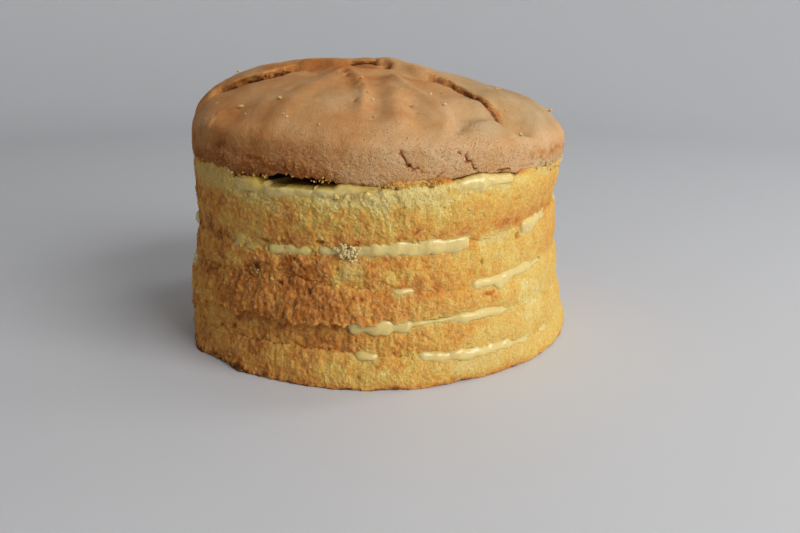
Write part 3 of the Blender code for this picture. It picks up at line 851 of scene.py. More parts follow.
def sponge_surface(name, pale, yellow, colours, translucent=0.15):
    """Torn sponge coloured by its browning, with painted shade in the pores and paler grains."""
    surface = Surface(
        name,
        roughness=0.85,
        specular_ior_level=0.08,
        subsurface_weight=translucent,
        subsurface_scale=0.003,
        subsurface_radius=(1.0, 0.55, 0.2),
    )
    speck = surface.noise(0.9, 4.0, 0.7)
    patch = surface.noise(5.0)
    fine = surface.noise(0.5, 3.0, 0.65)
    fleck = surface.mask(surface.grains(1.5, 1) - 0.7 * surface.grains(1.5), 0.30, 0.48)
    bake = surface.look("bake") + 0.12 * (speck - 0.5) + 0.16 * (patch - 0.5)
    shade = surface.ramp(
        bake,
        (0.0, pale), (0.26, yellow), (0.48, colours.crumb_golden), (0.70, colours.crumb_amber),
        (0.88, colours.crumb_brown), (1.0, colours.crumb_dark),
    )
    # Custard stain, and painted shade at the right
    stain_and_painted_shade = surface.mask(surface.look("stain_and_painted_shade") + 0.5 * (speck - 0.5), 0.15, 1.0)
    stained_and_shaded = surface.mix(0.7 * stain_and_painted_shade, shade, colours.stained_and_shaded)
    dim = surface.mask(speck + 0.3 * (fine - 0.5), 0.60, 0.34)
    grained = surface.mix(0.42 * dim, stained_and_shaded, colours.speck_and_pore_shade, "MULTIPLY")
    grained = surface.mix(0.2 * fleck, grained, colours.crumb_fleck)
    # Painted shade: pores, holes and grooves darken towards the shade tint
    depth = surface.mask(surface.look("hollow") + 0.6 * (fine - 0.5), 0.15, 1.2)
    surface.set(base_color=surface.mix(depth * 0.68, grained, colours.speck_and_pore_shade, "MULTIPLY"))
    relief = 0.6 * speck + 0.6 * fine + 0.3 * fleck - 0.4 * surface.grains(1.0)
    surface.set(normal=surface.bump(relief, 0.6))
    return surface.material


def crust_surface(colours):
    """Browned crust: matte and smooth on top, porous and redder low down, torn crumb in the tears."""
    surface = Surface(
        "browned_crust",
        specular_ior_level=0.08,
        subsurface_weight=0.05,
        subsurface_scale=0.002,
    )
    patch = surface.noise(14.0, 3.0, 0.55)
    mottle = surface.noise(2.8, 3.0, 0.6)
    speck = surface.noise(0.8, 3.0, 0.65)
    fine = surface.grains(1.1)
    porous = surface.look("porous")
    torn = surface.look("torn")
    bake = surface.look("bake") + 0.18 * (patch - 0.5) + 0.22 * (mottle - 0.5)
    bake = bake + (0.16 + 0.24 * porous) * (speck - 0.5)
    shade = surface.ramp(
        bake,
        (0.0, colours.crust_light), (0.3, colours.crust_tan), (0.58, colours.crust_brown),
        (0.82, colours.crust_red), (1.0, colours.crust_dark_and_gap_shade),
    )
    # Painted shade high up on the right
    shade = surface.mix(surface.look("painted_shade_upper_right"), shade, colours.crust_painted_shade, "MULTIPLY")
    inside = surface.look("hollow")
    # The torn wall's colour, darkening to painted shadow where the hollow look is high
    wall = surface.ramp(
        inside + 0.4 * (speck - 0.5),
        (0.0, colours.crumb_golden), (0.35, colours.tear_orange), (0.75, colours.crumb_brown),
        (1.0, colours.crust_dark_and_gap_shade),
    )
    face = surface.mix(torn, shade, wall)
    hollow = surface.mask(inside + 0.3 * porous * (0.5 - fine), 0.1, 1.0)
    dust = surface.noise(0.45, 3.0, 0.7)
    dim = surface.mask(dust + 0.5 * (speck - 0.5), 0.60, 0.34)
    grained = surface.mix((0.12 + 0.18 * porous) * dim, face, colours.speck_and_pore_shade, "MULTIPLY")
    # Cracks get their red; pores and pits get painted shade
    cracked = surface.mix(hollow * (0.85 - 0.85 * torn), grained, colours.crack_red_and_pore_shade)
    # Painted shade: dark dots in the pores
    pores = surface.mask(fine + 0.8 * (mottle - 0.5) - 0.22 * porous, 0.2, 0.04)
    fleck = surface.mask(surface.grains(1.3, 1) - 0.7 * surface.grains(1.3), 0.26, 0.46)
    flecked = surface.mix(0.3 * porous * fleck, cracked, colours.crust_light)
    surface.set(base_color=surface.mix(pores * 0.34, flecked, colours.crack_red_and_pore_shade))
    relief = (0.5 + 0.7 * porous) * speck - 0.5 * pores + (0.3 + 0.3 * porous) * dust
    surface.set(normal=surface.bump(relief, 0.7))
    surface.set(roughness=0.6 + 0.25 * porous + 0.1 * (patch - 0.5))
    return surface.material


def custard_surface(colours):
    """Set custard: smooth, glossy and a little translucent."""
    surface = Surface(
        "custard",
        specular_ior_level=0.3,
        subsurface_weight=0.4,
        subsurface_scale=0.004,
        subsurface_radius=(1.0, 0.7, 0.3),
        coat_weight=0.5,
        coat_roughness=0.1,
    )
    swirl = surface.noise(6.0)
    speck = surface.noise(1.1)
    # The look mixes the custard's thickness with painted shade at the left and in the seams
    thick_and_painted_shade = surface.look("thick_and_painted_shade") + 0.7 * (swirl - 0.5) + 0.3 * (speck - 0.5)
    shade = surface.ramp(thick_and_painted_shade, (0.1, colours.custard_deep_and_shaded), (0.8, colours.custard_light))
    relief = 0.5 * surface.noise(2.4) + 0.15 * speck
    surface.set(
        base_color=shade, roughness=0.14 + 0.24 * speck, normal=surface.bump(relief, 0.5)
    )
    return surface.material


def floor_surface(colours):
    """A plain matte floor."""
    surface = Surface("studio_floor", roughness=0.6)
    surface.set(base_color=surface.mix(0.06 * surface.noise(60.0, 3.0), colours.floor, (0.5, 0.5, 0.5)))
    return surface.material


# Pieces


class CAKE_OT_sponge_layers(bpy.types.Operator):
    """Makes the five sponge layers, with crumb at their sides."""

    bl_idname = "cake.sponge_layers"
    bl_label = "Sponge Layers"

    def execute(self, context):
        colours = context.scene.cake_colours
        surface = sponge_surface("sponge_crumb", colours.crumb_pale, colours.crumb_yellow, colours)
        for layer in range(len(SEAM_MIDDLES)):
            sponge_layer(layer, surface, context.scene.cake_sizes)
        return {"FINISHED"}


def layer_edge(seam, turn, way):
    """The side's edge at a seam, for the layer above it (way 1) or below it (way -1)."""
    share, _, above, below = custard_at(seam, turn)
    points = ring_points(turn, seam)
    merged = smooth(0.45 + 1.6 * noise(points, 10.0, 37) + near(turn, 70, 50, 30))
    room = THIN_SEAM - merged * (1 - share) + 0.45 * (above if way > 0 else below) * share
    wander = 1.1 * noise(points, 8.0, 31) + 0.6 * noise(points, 3.2, 32)
    ragged = 0.35 * noise(points, 1.8, 35 + way)
    edge = seam_at(seam, turn) + way * room + wander * (1 - 0.6 * share) + ragged
    if seam == TOP_SEAM:
        edge = edge + (crust_foot(turn) + 1.4 - edge) * (1 - share)
    return edge


def step_at(turn, height):
    """How far the layer at a height stands out from the side."""
    out = between(STEP_ANGLES, STEP_OUT[0], turn)
    for seam, steps in enumerate(STEP_OUT[1:]):
        rise = smooth((height - seam_at(seam, turn)) / 2 + 0.5)
        out = out + (between(STEP_ANGLES, steps, turn) - out) * rise
    return out


def overhang(turn):
    """1 at the left, where the third layer hangs over the second."""
    return near(turn, -32, 44, 14)


def scallops(turn):
    """The ragged lower edge of the third layer where it hangs over the second."""
    points = ring_points(turn, 9)
    lobes = 0.9 - 3.2 * np.abs(noise(points, 6.5, 33))
    return overhang(turn) * (-1.1 * lobes + 0.7 * noise(points, 2.6, 34) - 0.4)


def sponge_rows(thickness):
    """Rows of points down a side: how far in they are, their place from the lower edge (0) to the
    upper (1), how far they are off that edge, and 1 where they are on the side between corners."""
    angles = [math.pi / 2 * step / CORNER_STEPS for step in range(CORNER_STEPS)]
    corner = [
        (EDGE_ROUND * (1 - math.sin(angle)), EDGE_ROUND * (1 - math.cos(angle))) for angle in angles
    ]
    count = max(round((thickness - 2 * EDGE_ROUND) / ROW_STEP), 8)
    rows = [(inset, 1.0, 0.0, 0) for inset in FLAT_INSETS]
    rows += [(inset, 1.0, -drop, 0) for inset, drop in corner]
    rows += [(0.0, 1 - step / count, 0.0, 1) for step in range(count + 1)]
    rows += [(inset, 0.0, lift, 0) for inset, lift in corner[::-1]]
    rows += [(inset, 0.0, 0.0, 0) for inset in FLAT_INSETS[::-1]]
    return np.array(rows).T[:, :, None]


def layer_side(layer, turn, low, high, thickness):
    """Rings down the side of a layer: their radius and height, their share of the way up, and how
    far in they are."""
    inset, share, offset, on_side = sponge_rows(thickness)
    sharpness = np.clip(0.6 + 0.9 * noise(ring_points(turn, 12 + layer), 8.0, 36), 0.15, 1.2)
    if layer == TOP_SEAM:
        sharpness = 0.4 * sharpness
    rounding = EDGE_ROUND * sharpness
    height = np.where(
        on_side > 0,
        low + rounding + (high - low - 2 * rounding) * share,
        low + (high - low) * share + offset * sharpness,
    )
    inset = np.where(inset <= EDGE_ROUND, inset * sharpness, inset)
    if layer == 0:
        height = np.maximum(height, 0.0)
    rise = np.clip((height - low) / (high - low), 0, 1)
    radius = side_radius(height, turn) + between(STEP_ANGLES, STEP_OUT[layer], turn)
    radius = radius + BELLY * np.sin(math.pi * rise)
    if layer == HANGING_LAYER:
        radius = radius + OVERHANG * (1 - rise) ** 2 * overhang(turn)
    return radius - inset, height, rise, inset


def sponge_layer(layer, surface, sizes):
    """One layer between two seams."""
    turn = np.arange(SEGMENTS) * 360 / SEGMENTS - 180
    floor = SEAM_MIDDLES[layer - 1] if layer else 0
    high = layer_edge(layer, turn, -1)
    low = layer_edge(layer - 1, turn, 1) if layer else np.zeros_like(turn)
    if layer == HANGING_LAYER:
        low = low + scallops(turn)
    radius, height, rise, inset = layer_side(layer, turn, low, high, SEAM_MIDDLES[layer] - floor)
    stain_and_painted_shade = custard_stain_and_painted_shade(layer, turn, height, low, high).ravel()
    points = placed(radius, turn, height).reshape(-1, 3)
    turns = np.broadcast_to(turn, radius.shape).ravel()
    height, rise = height.ravel(), rise.ravel()
    quads = ring_quads(len(radius), SEGMENTS)
    normals = normals_of(points, quads)
    streaks = STREAKS[layer] * (0.35 + 0.65 * smooth((34 - turns) / 50))
    rough = ROUGHNESS[layer] * (1 - 0.68 * near(turns, 65, 66, 40))
    relief, hollow, own = crumb_relief(points + (0, 0, layer * LAYER_SHIFT), streaks, rough, sizes)
    holes = hole_depth(turns, height, points)
    relief -= HOLE_DEPTH * holes
    showing = smooth((8 - inset.ravel()) / 6)
    points = points + normals * (relief * showing)[:, None]
    if layer == 0:
        points[:, 2] = np.maximum(points[:, 2], 0.0)
        points[-2 * SEGMENTS :, 2] = 0.0
    looks = {
        "bake": sponge_bake(layer, turns, rise, height, points, own, stain_and_painted_shade),
        "hollow": np.maximum(hollow, 1.2 * holes),
        "stain_and_painted_shade": stain_and_painted_shade,
    }
    looks = {key: np.append(values, values[:2]) for key, values in looks.items()}
    points, faces = closed(points, quads, SEGMENTS, (0, 0, SEAM_MIDDLES[layer]), (0, 0, floor))
    name = f"sponge_{layer + 1}"
    make_solid(name + "_crumb", points, faces, surface, looks, (name,))


def hole_depth(turn, height, points):
    """1 in the holes of the crumb, which get painted shade, and 0 elsewhere."""
    deep = np.zeros_like(height)
    ragged = 0.7 * noise(points, 1.4, 50)
    for hole in HOLES:
        deep = np.maximum(deep, smooth(1.6 - oval(turn, height, hole, DEGREE) + ragged))
    return deep


def custard_stain_and_painted_shade(layer, turn, height, low, high):
    """From 0 to 1: custard smeared over the sponge, most beside a patch of it, and painted shade."""
    points = placed(side_radius(height, turn), turn, height).reshape(-1, 3)
    uneven = (0.6 * noise(points, 7.0, 45) + 0.5 * noise(points, 2.6, 46)).reshape(height.shape)
    stain_and_painted_shade = custard_at(layer, turn)[0] * smooth((4.0 + 3.5 * uneven - (high - height)) / 4)
    for *patch, most in RUBBED_AND_SHADED:
        stain_and_painted_shade = np.maximum(stain_and_painted_shade, most * smooth(1.6 - oval(turn, height, patch) + 0.7 * uneven))
    if layer:
        below = custard_at(layer - 1, turn)[0]
        stain_and_painted_shade = np.maximum(stain_and_painted_shade, below * smooth((2.4 + 2.5 * uneven - (height - low)) / 3))
    return stain_and_painted_shade


def sponge_bake(layer, turn, rise, height, points, own, stain_and_painted_shade):
    """How far the side of a layer is browned, from 0 to 1."""
    # BAKE is browner on the left, which is partly painted shade
    bake = between(BAKE_ANGLES, BAKE[layer], turn)
    uneven = 0.11 * noise(points, 12.0, 41) + 0.15 * noise(points, 4.5, 42)
    uneven += 0.15 * noise(points, 2.0, 47)
    bake = bake + uneven * (0.85 + 0.5 * near(turn, -35, 80, 40))
    bake = np.minimum(bake, 0.86) + 0.08 * (own - 0.5) - 0.24 * stain_and_painted_shade
    sway = 2.2 * noise(points, 6.0, 48) + 0.9 * noise(points, 2.4, 49)
    for *patch, more in PATCHES:
        bake += more * smooth(1.5 - oval(turn, height, patch) - 0.3 * sway)
    if layer == TOP_SEAM:
        bake += 0.22 * smooth((0.45 - rise) / 0.4) - 0.10 * smooth((rise - 0.6) / 0.3)
        under_crust = smooth((height - between(FOOT_ANGLES, FOOT_HEIGHTS, turn) + 1.4 + 0.4 * sway) / 1.2)
        bake += 0.34 * under_crust * near(turn, 18, 30, 6)
    if layer == 0:
        bake += 0.22 * smooth((4.0 + 2 * noise(points, 6.0, 43) - height) / 3)
        bake += 0.35 * smooth((0.8 + 1.4 * noise(points, 5.0, 44) - height) / 0.8)
    return bake


class CAKE_OT_custard(bpy.types.Operator):
    """Makes the custard in the five seams, with its bulges and drips."""

    bl_idname = "cake.custard"
    bl_label = "Custard"

    def execute(self, context):
        surface = custard_surface(context.scene.cake_colours)
        for seam in range(len(SEAM_MIDDLES)):
            custard_seam(seam, surface, context.scene.cake_sizes)
        custard_smears(surface)
        return {"FINISHED"}


def custard_rings(seam, turn, share, reach, above, below):
    """Rings of a seam's custard from the top down: the upper face, the lip, then the lower face."""
    hollow = hollow_at(turn) if seam == TOP_SEAM else np.zeros_like(turn)
    middle = seam_at(seam, turn)
    rings = [(middle + HALF_DISC, side_radius(middle, turn) - inset) for inset in DISC_INSETS]
    for step in range(LIP_STEPS + 1):
        angle = math.pi * (0.5 - step / LIP_STEPS)
        size, open_above = (above, hollow) if angle > 0 else (below, 0)
        web = 3.0 + 4.5 * open_above
        height = middle + size * math.copysign(abs(math.sin(angle)) ** 0.85, angle)
        bow = max(math.cos(angle), 0) ** (0.65 + 0.6 * open_above)
        sag = 0.3 * share * math.cos(angle)
        rings.append((height - sag, side_radius(height, turn) - web + (reach + web) * bow))
    rings += [(middle - HALF_DISC, side_radius(middle, turn) - inset) for inset in DISC_INSETS[::-1]]
    return np.array(rings).swapaxes(0, 1)


def custard_seam(seam, surface, sizes):
    """Custard between two layers: a thin disc whose lip swells out where the custard shows."""
    turn = np.arange(CUSTARD_SEGMENTS) * 360 / CUSTARD_SEGMENTS - 180
    share, reach, above, below = custard_at(seam, turn)
    points = ring_points(turn, seam)
    uneven = 0.06 if seam == TOP_SEAM else 0.3
    above = 0.2 + above * (1 + uneven * noise(points, 5.5, 51)) + 0.25 * noise(points, 2.4, 52)
    below = 0.2 + below * (1 + 0.44 * noise(points, 5.0, 53)) + 0.4 * noise(points, 2.4, 54)
    reach = (reach + 0.5 * share) * (1 + 0.6 * noise(points, 7.0, 55)) - SETBACK * (1 - share)
    heights, radii = custard_rings(seam, turn, share, reach, above, below)
    points = placed(radii, turn, heights).reshape(-1, 3)
    quads = ring_quads(len(radii), CUSTARD_SEGMENTS)
    normals = normals_of(points, quads)
    swell = sizes.custard_swell / MM * (0.9 * noise(points, 7.0, 56) + 0.4 * noise(points, 2.8, 57))
    showing = np.zeros(radii.shape)
    showing[len(DISC_INSETS) : -len(DISC_INSETS)] = share
    points = points + normals * (swell * showing.ravel())[:, None]
    # Deeper colour where the custard goes in behind the sponge: thinner there, and painted shade
    depth = np.clip(1 - (side_radius(heights, turn) + 0.2 - radii) / 2.4, 0, 1)
    # Painted shade: the custard at the left, away from the light, gets the deeper colour
    left_shade_factor = 1 - 0.8 * near(turn, -60, 46, 34)
    thick_and_painted_shade = (np.clip(0.3 + reach / 1.8, 0, 1) * depth * left_shade_factor).ravel()
    level = SEAM_MIDDLES[seam]
    ends = (0, 0, level + HALF_DISC), (0, 0, level - HALF_DISC)
    points, faces = closed(points, quads, CUSTARD_SEGMENTS, *ends)
    looks = {"thick_and_painted_shade": np.append(thick_and_painted_shade, (0, 0))}
    name = f"custard_{seam + 1}"
    make_solid(name + "_filling", points, faces, surface, looks, (name,))


def custard_smears(surface):
    """All smears of custard on the side as one mesh: each bulges a little and is closed behind."""
    share = np.append(np.arange(1, SMEAR_RINGS + 1) / SMEAR_RINGS, 1.0)[:, None]
    depth = np.append(np.zeros(SMEAR_RINGS), 2.5)[:, None]
    around = np.arange(SMEAR_STEPS) * 2 * math.pi / SMEAR_STEPS
    circle = np.stack([np.cos(around), np.sin(around), np.zeros_like(around)], axis=-1)
    quads = ring_quads(len(share), SMEAR_STEPS)
    all_points, all_faces, thick_and_painted_shade, start = [], [], [], 0
    for middle, level, half_width, half_height, tilt, thickness, pale in SMEARS:
        own = circle * 2 + (0, 0, level + middle)
        outline = 1 + 0.45 * noise(own, 1.6, 94) + 0.25 * noise(own, 0.6, 95)
        across = half_width * share * outline * np.cos(around)
        along = half_height * share * outline * np.sin(around)
        cosine, sine = math.cos(math.radians(tilt)), math.sin(math.radians(tilt))
        turn = middle + np.degrees((across * cosine - along * sine) / CRUST_RADIUS)
        height = level + across * sine + along * cosine
        out = side_radius(height, turn) + step_at(turn, height) + 0.35
        swell = thickness * (1 - share**2) ** 0.6 - 0.4 * share**4 - depth
        points = placed(out + swell, turn, height).reshape(-1, 3)
        points += 0.2 * thickness * noise(points, 1.6, 96)[:, None] * points / BASE_RADIUS
        front, back = points[: 3 * SMEAR_STEPS].mean(axis=0), points[-SMEAR_STEPS:].mean(axis=0)
        points, faces = closed(points, quads, SMEAR_STEPS, front, back)
        all_points.append(points)
        all_faces += [[corner + start for corner in face] for face in faces]
        thick_and_painted_shade.append(np.append((pale * (1 - share**2) + 0 * turn).ravel(), (pale, 0.0)))
        start += len(points)
    looks = {"thick_and_painted_shade": np.concatenate(thick_and_painted_shade)}
    make_solid("custard_smears", np.vstack(all_points), all_faces, surface, looks)


class CAKE_OT_domed_top(bpy.types.Operator):
    """Makes the domed top layer, with its tears, folds and porous lower edge."""

    bl_idname = "cake.domed_top"
    bl_label = "Domed Top"

    def execute(self, context):
        domed_top(crust_surface(context.scene.cake_colours), context.scene.cake_sizes)
        return {"FINISHED"}


def dome(share, edge, top, fullness):
    """Height of a dome at a share of its radius."""
    return edge + (top - edge) * np.clip(1 - share**fullness, 0, 1) ** ROUNDNESS


def crust_edge(turn):
    """Where the side of the top layer rounds over into the dome: lower on the right."""
    return EDGE_HEIGHT - EDGE_TILT * np.sin(np.radians(turn))


def polar(x, y):
    """Share of the crust's radius, and angle, of points on the dome."""
    turn = np.degrees(np.arctan2(x, -y))
    return np.hypot(x, y) / side_radius(crust_edge(turn), turn), turn


def fault_at(x):
    """The fault's y, the width of its step and how far it is torn open, at x."""
    places, line, width, tear = zip(*FAULT)
    return (between(places, values, x) for values in (line, width, tear))


def crust_height(x, y, behind):
    """The dome's surface: a sunken front, a raised back, folds that run to the rim, and swells."""
    share, turn = polar(x, y)
    right = np.sin(np.radians(turn))
    edge = crust_edge(turn)
    front = dome(share, edge, FRONT_TOP, 1.5 - 0.35 * right)
    back = dome(share, edge, BACK_TOP, 2.15 - 1.0 * right)
    height = front + (back - front) * behind
    fade = 1 - smooth((share - 0.9) / 0.1)
    for depth, half_width, path in FOLDS:
        height -= depth * fade * bell(distance_to_path(x, y, path), half_width)
    for swell_x, swell_y, radius, rise in SWELLS:
        height += rise * fade * bell(np.hypot(x - swell_x, y - swell_y), radius)
    return np.maximum(height, edge)


def dome_grid():
    """An even grid laid over the disc: x and y for each of its points, row by row."""
    line = np.linspace(-1, 1, DOME_CELLS + 1)
    across, along = np.meshgrid(line, line)
    x = across * np.sqrt(1 - along**2 / 2)
    y = along * np.sqrt(1 - across**2 / 2)
    share = np.hypot(x, y)
    closer = share + 0.72 * (1 - share) * share**8
    scale = closer / np.maximum(share, 1e-9)
    turn = np.degrees(np.arctan2(x, -y))
    radius = side_radius(crust_edge(turn), turn) * scale
    return (x * radius).ravel(), (y * radius).ravel()


def dome_rim():
    """The grid's outermost points, in the order in which angles grow."""
    count = DOME_CELLS
    row = count + 1
    lower = np.arange(count)
    right = count + row * np.arange(count)
    upper = row * count + count - np.arange(count)
    left = row * (count - np.arange(count))
    return np.concatenate([lower, right, upper, left])


def torn_dome(x, y):
    """Points of the dome, torn open along the fault, with how torn each is and its painted shadow."""
    share, _ = polar(x, y)
    line, width, tear = fault_at(x)
    inside = 1 - smooth((share - 0.93) / 0.06)
    tear = tear * inside
    points = np.stack([x, y, np.zeros_like(x)], axis=-1)
    wander = noise(points, 6.0, 61) + 0.6 * noise(points, 2.4, 62)
    place = y - line - wander * tear
    shift = np.interp(place, TEAR_PLACES, np.subtract(TEAR_GOES_TO, TEAR_PLACES))
    opened = smooth(tear * 2.2)
    y = y + shift * inside * np.clip(tear * 1.5, 0, 1)
    behind = smooth(0.5 + (y - line) / width)
    behind += (np.interp(place, TEAR_PLACES, TEAR_RISE) - behind) * opened
    gap = np.interp(place, TEAR_PLACES, TEAR_GAP) * tear
    # How torn each point is, and the painted shadow in the tear's gap
    torn, shade = (
        np.interp(place, TEAR_PLACES, across) * opened * inside for across in (TEAR_WALL, TEAR_PAINTED_SHADOW)
    )
    height = crust_height(x, y, behind) - GAP_DEPTH * gap
    return np.stack([x, y, height], axis=-1), torn, shade


def crust_side(turn):
    """Rings from the dome's rim down the side, round its foot and in below it: their points, and the
    angle of each."""
    foot, edge = crust_foot(turn), crust_edge(turn)
    rings = []
    for step in range(1, SIDE_ROWS + 1):
        rings.append((edge + (foot + FOOT_ROUND - edge) * step / SIDE_ROWS, 0.0))
    for angle in np.radians(FOOT_TURNS):
        rings.append((foot + FOOT_ROUND * (1 - math.sin(angle)), FOOT_ROUND * (1 - math.cos(angle))))
    for inset, lift in UNDERSIDE:
        rings.append((foot + lift, inset))
    rings.append((np.full_like(foot, UNDERSIDE_HEIGHT), UNDERSIDE_INSET))
    heights = np.array([level for level, _ in rings])
    insets = np.array([inset for _, inset in rings])[:, None]
    around = np.broadcast_to(turn, heights.shape) * DEGREE
    for _, _, path in SIDE_CRACKS:
        around, heights = crowded(around, heights, unrolled(path), insets == 0)
    turns = around / DEGREE
    left, right = near(turns, -38, 42, 24), near(turns, 85, 44, 24)
    tuck = (0.5 + 0.6 * left + 2.2 * right) * (1 - smooth((heights - foot) / 6.5)) ** 1.5
    radii = side_radius(heights, turns) - insets - tuck
    return placed(radii, turns, heights).reshape(-1, 3), turns.ravel()


def domed_top(surface, sizes):
    """One closed solid: the dome, the side below it and the hollow underside."""
    x, y = dome_grid()
    for _, _, path in TOP_CRACKS:
        x, y = crowded(x, y, path, 1 - smooth((polar(x, y)[0] - 0.9) / 0.08))
    top_points, torn, shade = torn_dome(x, y)
    x, y = top_points[:, 0], top_points[:, 1]
    _, turn = polar(x, y)
    rim = dome_rim()
    side_points, side_turn = crust_side(turn[rim])
    points = np.vstack([top_points, side_points])
    row = DOME_CELLS + 1
    corner = (np.arange(DOME_CELLS)[:, None] * row + np.arange(DOME_CELLS)).ravel()
    count = len(rim)
    first = len(top_points) + np.arange(count)
    dome_quads = np.stack([corner, corner + 1, corner + row + 1, corner + row], axis=-1)
    rim_quads = np.stack([rim, first, np.roll(first, -1), np.roll(rim, -1)], axis=-1)
    side_quads = ring_quads(len(side_points) // count, count, len(top_points))
    quads = np.vstack([dome_quads, rim_quads, side_quads])
    normals = normals_of(points, quads)
    turns = np.append(turn, side_turn)
    beside = np.zeros(len(side_points))
    plan = np.stack([np.append(x, beside + OFF_THE_DOME), np.append(y, beside + OFF_THE_DOME)])
    torn, shade = np.append(torn, beside), np.append(shade, beside)
    relief, looks = crust_relief(points, plan, turns, torn, shade, sizes)
    relief[-HIDDEN_RINGS * count :] = 0
    points = points + normals * relief[:, None]
    lower = fan(len(points), len(points) - count + np.arange(count), False)
    points = np.vstack([points, (0, 0, UNDERSIDE_HEIGHT)])
    looks = {key: np.append(values, 0) for key, values in looks.items()}
    faces = quads.tolist() + lower.tolist()
    make_solid("domed_top_crust", points, faces, surface, looks, ("sponge_top",))


def cracks(points, plan, turn):
    """Depth of the narrow cracks in mm, and how dark they are painted: their red and their shade."""
    depth, dark = np.zeros(len(points)), np.zeros(len(points))
    width = 1 + 0.6 * noise(points, 2.0, 78)
    for deep, half_width, path in TOP_CRACKS:
        crack = bell(distance_to_path(*plan, path), half_width * width)
        depth += deep * crack
        dark += 0.9 * crack
    width = 0.8 + 0.6 * noise(points, 2.0, 79)
    jagged = 0.9 * noise(points, 2.2, 80) + 0.5 * noise(points, 1.0, 86)
    for deep, half_width, path in SIDE_CRACKS:
        far = distance_to_path(turn * DEGREE + jagged, points[:, 2] + jagged, unrolled(path))
        crack = bell(far, half_width * width)
        depth += deep * crack
        dark += 1.3 * crack
    return depth, dark


def crust_bake(points, plan, turn, uneven):
    """How far the crust is browned away from its lower edge: more in the middle of the front and on
    the ridge; more on the left, partly as painted shade; and painted shade in the dips."""
    x, y = plan
    # Browner on the left, away from the light: partly browning, partly painted shade
    bake = 0.31 - 0.15 * np.sin(np.radians(turn)) + 0.14 * noise(points, 22.0, 81)
    bake += 0.10 * noise(points, 8.0, 82) + 0.05 * noise(points, 3.0, 85)
    bake += 0.12 * smooth((46 - np.hypot(x - 6, y + 30)) / 30)
    bake += 0.26 * smooth(1.6 - distance_to_path(x, y, RED_RIDGE) / 5 + uneven)
    # Painted shade in the dips, added to the browning
    for swell_x, swell_y, radius, rise in SWELLS:
        if rise < 0:
            bake += 0.14 * bell(np.hypot(x - swell_x, y - swell_y), radius)
    return bake


def crust_relief(points, plan, turn, torn, shade, sizes):
    """Relief of the crust in mm, and its looks: how far it is browned, porous, deep in a hollow, where
    shade and the red of cracks are painted, torn, and the painted shade high up on the right."""
    height = points[:, 2]
    foot = between(FOOT_ANGLES, FOOT_HEIGHTS, turn)
    left, right = near(turn, -40, 42, 26), near(turn, 66, 26, 14)
    low = smooth((foot + 15 + 8 * near(turn, -12, 75, 50) - height) / 14)
    edge_wander = 1.6 * noise(points, 8.0, 71) + 0.8 * noise(points, 2.6, 70)
    lowest = smooth((foot + 1.5 + 6.5 * left + edge_wander - height) / 4.5)
    uneven = 0.7 * noise(points, 3.0, 83)
    bake = crust_bake(points, plan, turn, uneven)
    bake += (0.22 * left - 0.02) * low + (0.02 + 0.12 * left) * lowest
    band = bell(height - 97 - 0.5 * uneven, 2.2) * smooth(0.5 + 1.4 * uneven)
    bake += right * (0.34 * band - 0.2 * smooth((foot + 5.5 - height) / 2))

    # Pores and grains, coarser low down and in the tear
    pore_far, own = cells(points, sizes.pore / MM, 72)
    grain_far, _ = cells(points, 1.5, 73)
    porous = np.clip(0.12 + 0.5 * low + 0.6 * lowest + 0.3 * torn, 0, 1)
    pores = smooth((0.06 + 0.22 * porous - pore_far + 0.14 * (own - 0.5)) / 0.12)
    wall_noise = noise(points, 1.3, 77)
    relief = 0.5 * noise(points, 14.0, 74) + 0.22 * noise(points, 5.5, 75) - 0.3 * pores
    relief += porous * (0.2 * noise(points, 2.2, 76) + 0.7 * (0.5 - grain_far))
    relief += 0.5 * porous * noise(points, 1.1, 89)
    relief += torn * (0.55 * wall_noise + 0.8 * (0.5 - grain_far))
    relief += lowest * left * (0.5 * noise(points, 2.6, 87) + 0.35 * noise(points, 1.3, 88))
    relief += low * right * (0.5 * noise(points, 3.4, 97) + 0.3 * noise(points, 1.5, 98))
    relief -= 1.7 * near(turn, -86, 26, 14) * bell(height - 111, 5)
    # Painted shade in the pores and between the grains
    hollow = 0.35 * pores + 0.24 * porous * smooth((grain_far - 0.45) / 0.4)
    hollow += torn * (0.2 + 0.5 * wall_noise + 0.5 * (grain_far - 0.4))
    # Painted shadow in the gap under the torn wall
    hollow += (0.75 + 0.7 * noise(points, 4.0, 99)) * shade

    # Wrinkles, cracks and pits
    # Painted shade: the dents are browner and darker, the swells paler
    for *patch, depth in WRINKLES:
        dent = depth * smooth(1.5 - oval(turn, height, patch, DEGREE) + uneven)
        relief -= dent
        bake += 0.16 * dent
    depth, dark = cracks(points, plan, turn)
    relief -= depth
    hollow += dark
    # Pits are dented and painted dark: painted shade
    for pit_x, pit_y, radius in PITS:
        far = np.hypot(plan[0] - pit_x, plan[1] - pit_y)
        pit = smooth(1.7 - far / radius + 0.15 * uneven)
        relief -= 1.5 * radius * pit
        hollow += 1.6 * pit
        torn = np.maximum(torn, 0.95 * smooth(3 * pit - 2.0))

    # Painted shade darkens the crust high up on the right
    painted_shade_upper_right = smooth((points[:, 0] - 28) / 28) * smooth((height - 103) / 8)
    painted_shade_upper_right *= 0.85 + 0.15 * noise(points, 9.0, 84)
    hollow = np.clip(hollow, 0, 1.2)
    return relief, {"bake": bake, "porous": porous, "hollow": hollow, "torn": torn, "painted_shade_upper_right": painted_shade_upper_right}


class CAKE_OT_crumbs(bpy.types.Operator):
    """Makes the loose crumbs on the dome, on the side and along the crust's lower edge."""

    bl_idname = "cake.crumbs"
    bl_label = "Loose Crumbs"

    def execute(self, context):
        colours = context.scene.cake_colours
        surface = sponge_surface("dry_crumb", colours.dry_cream, colours.dry_tan, colours, 0.0)
        loose_crumbs(surface)
        return {"FINISHED"}


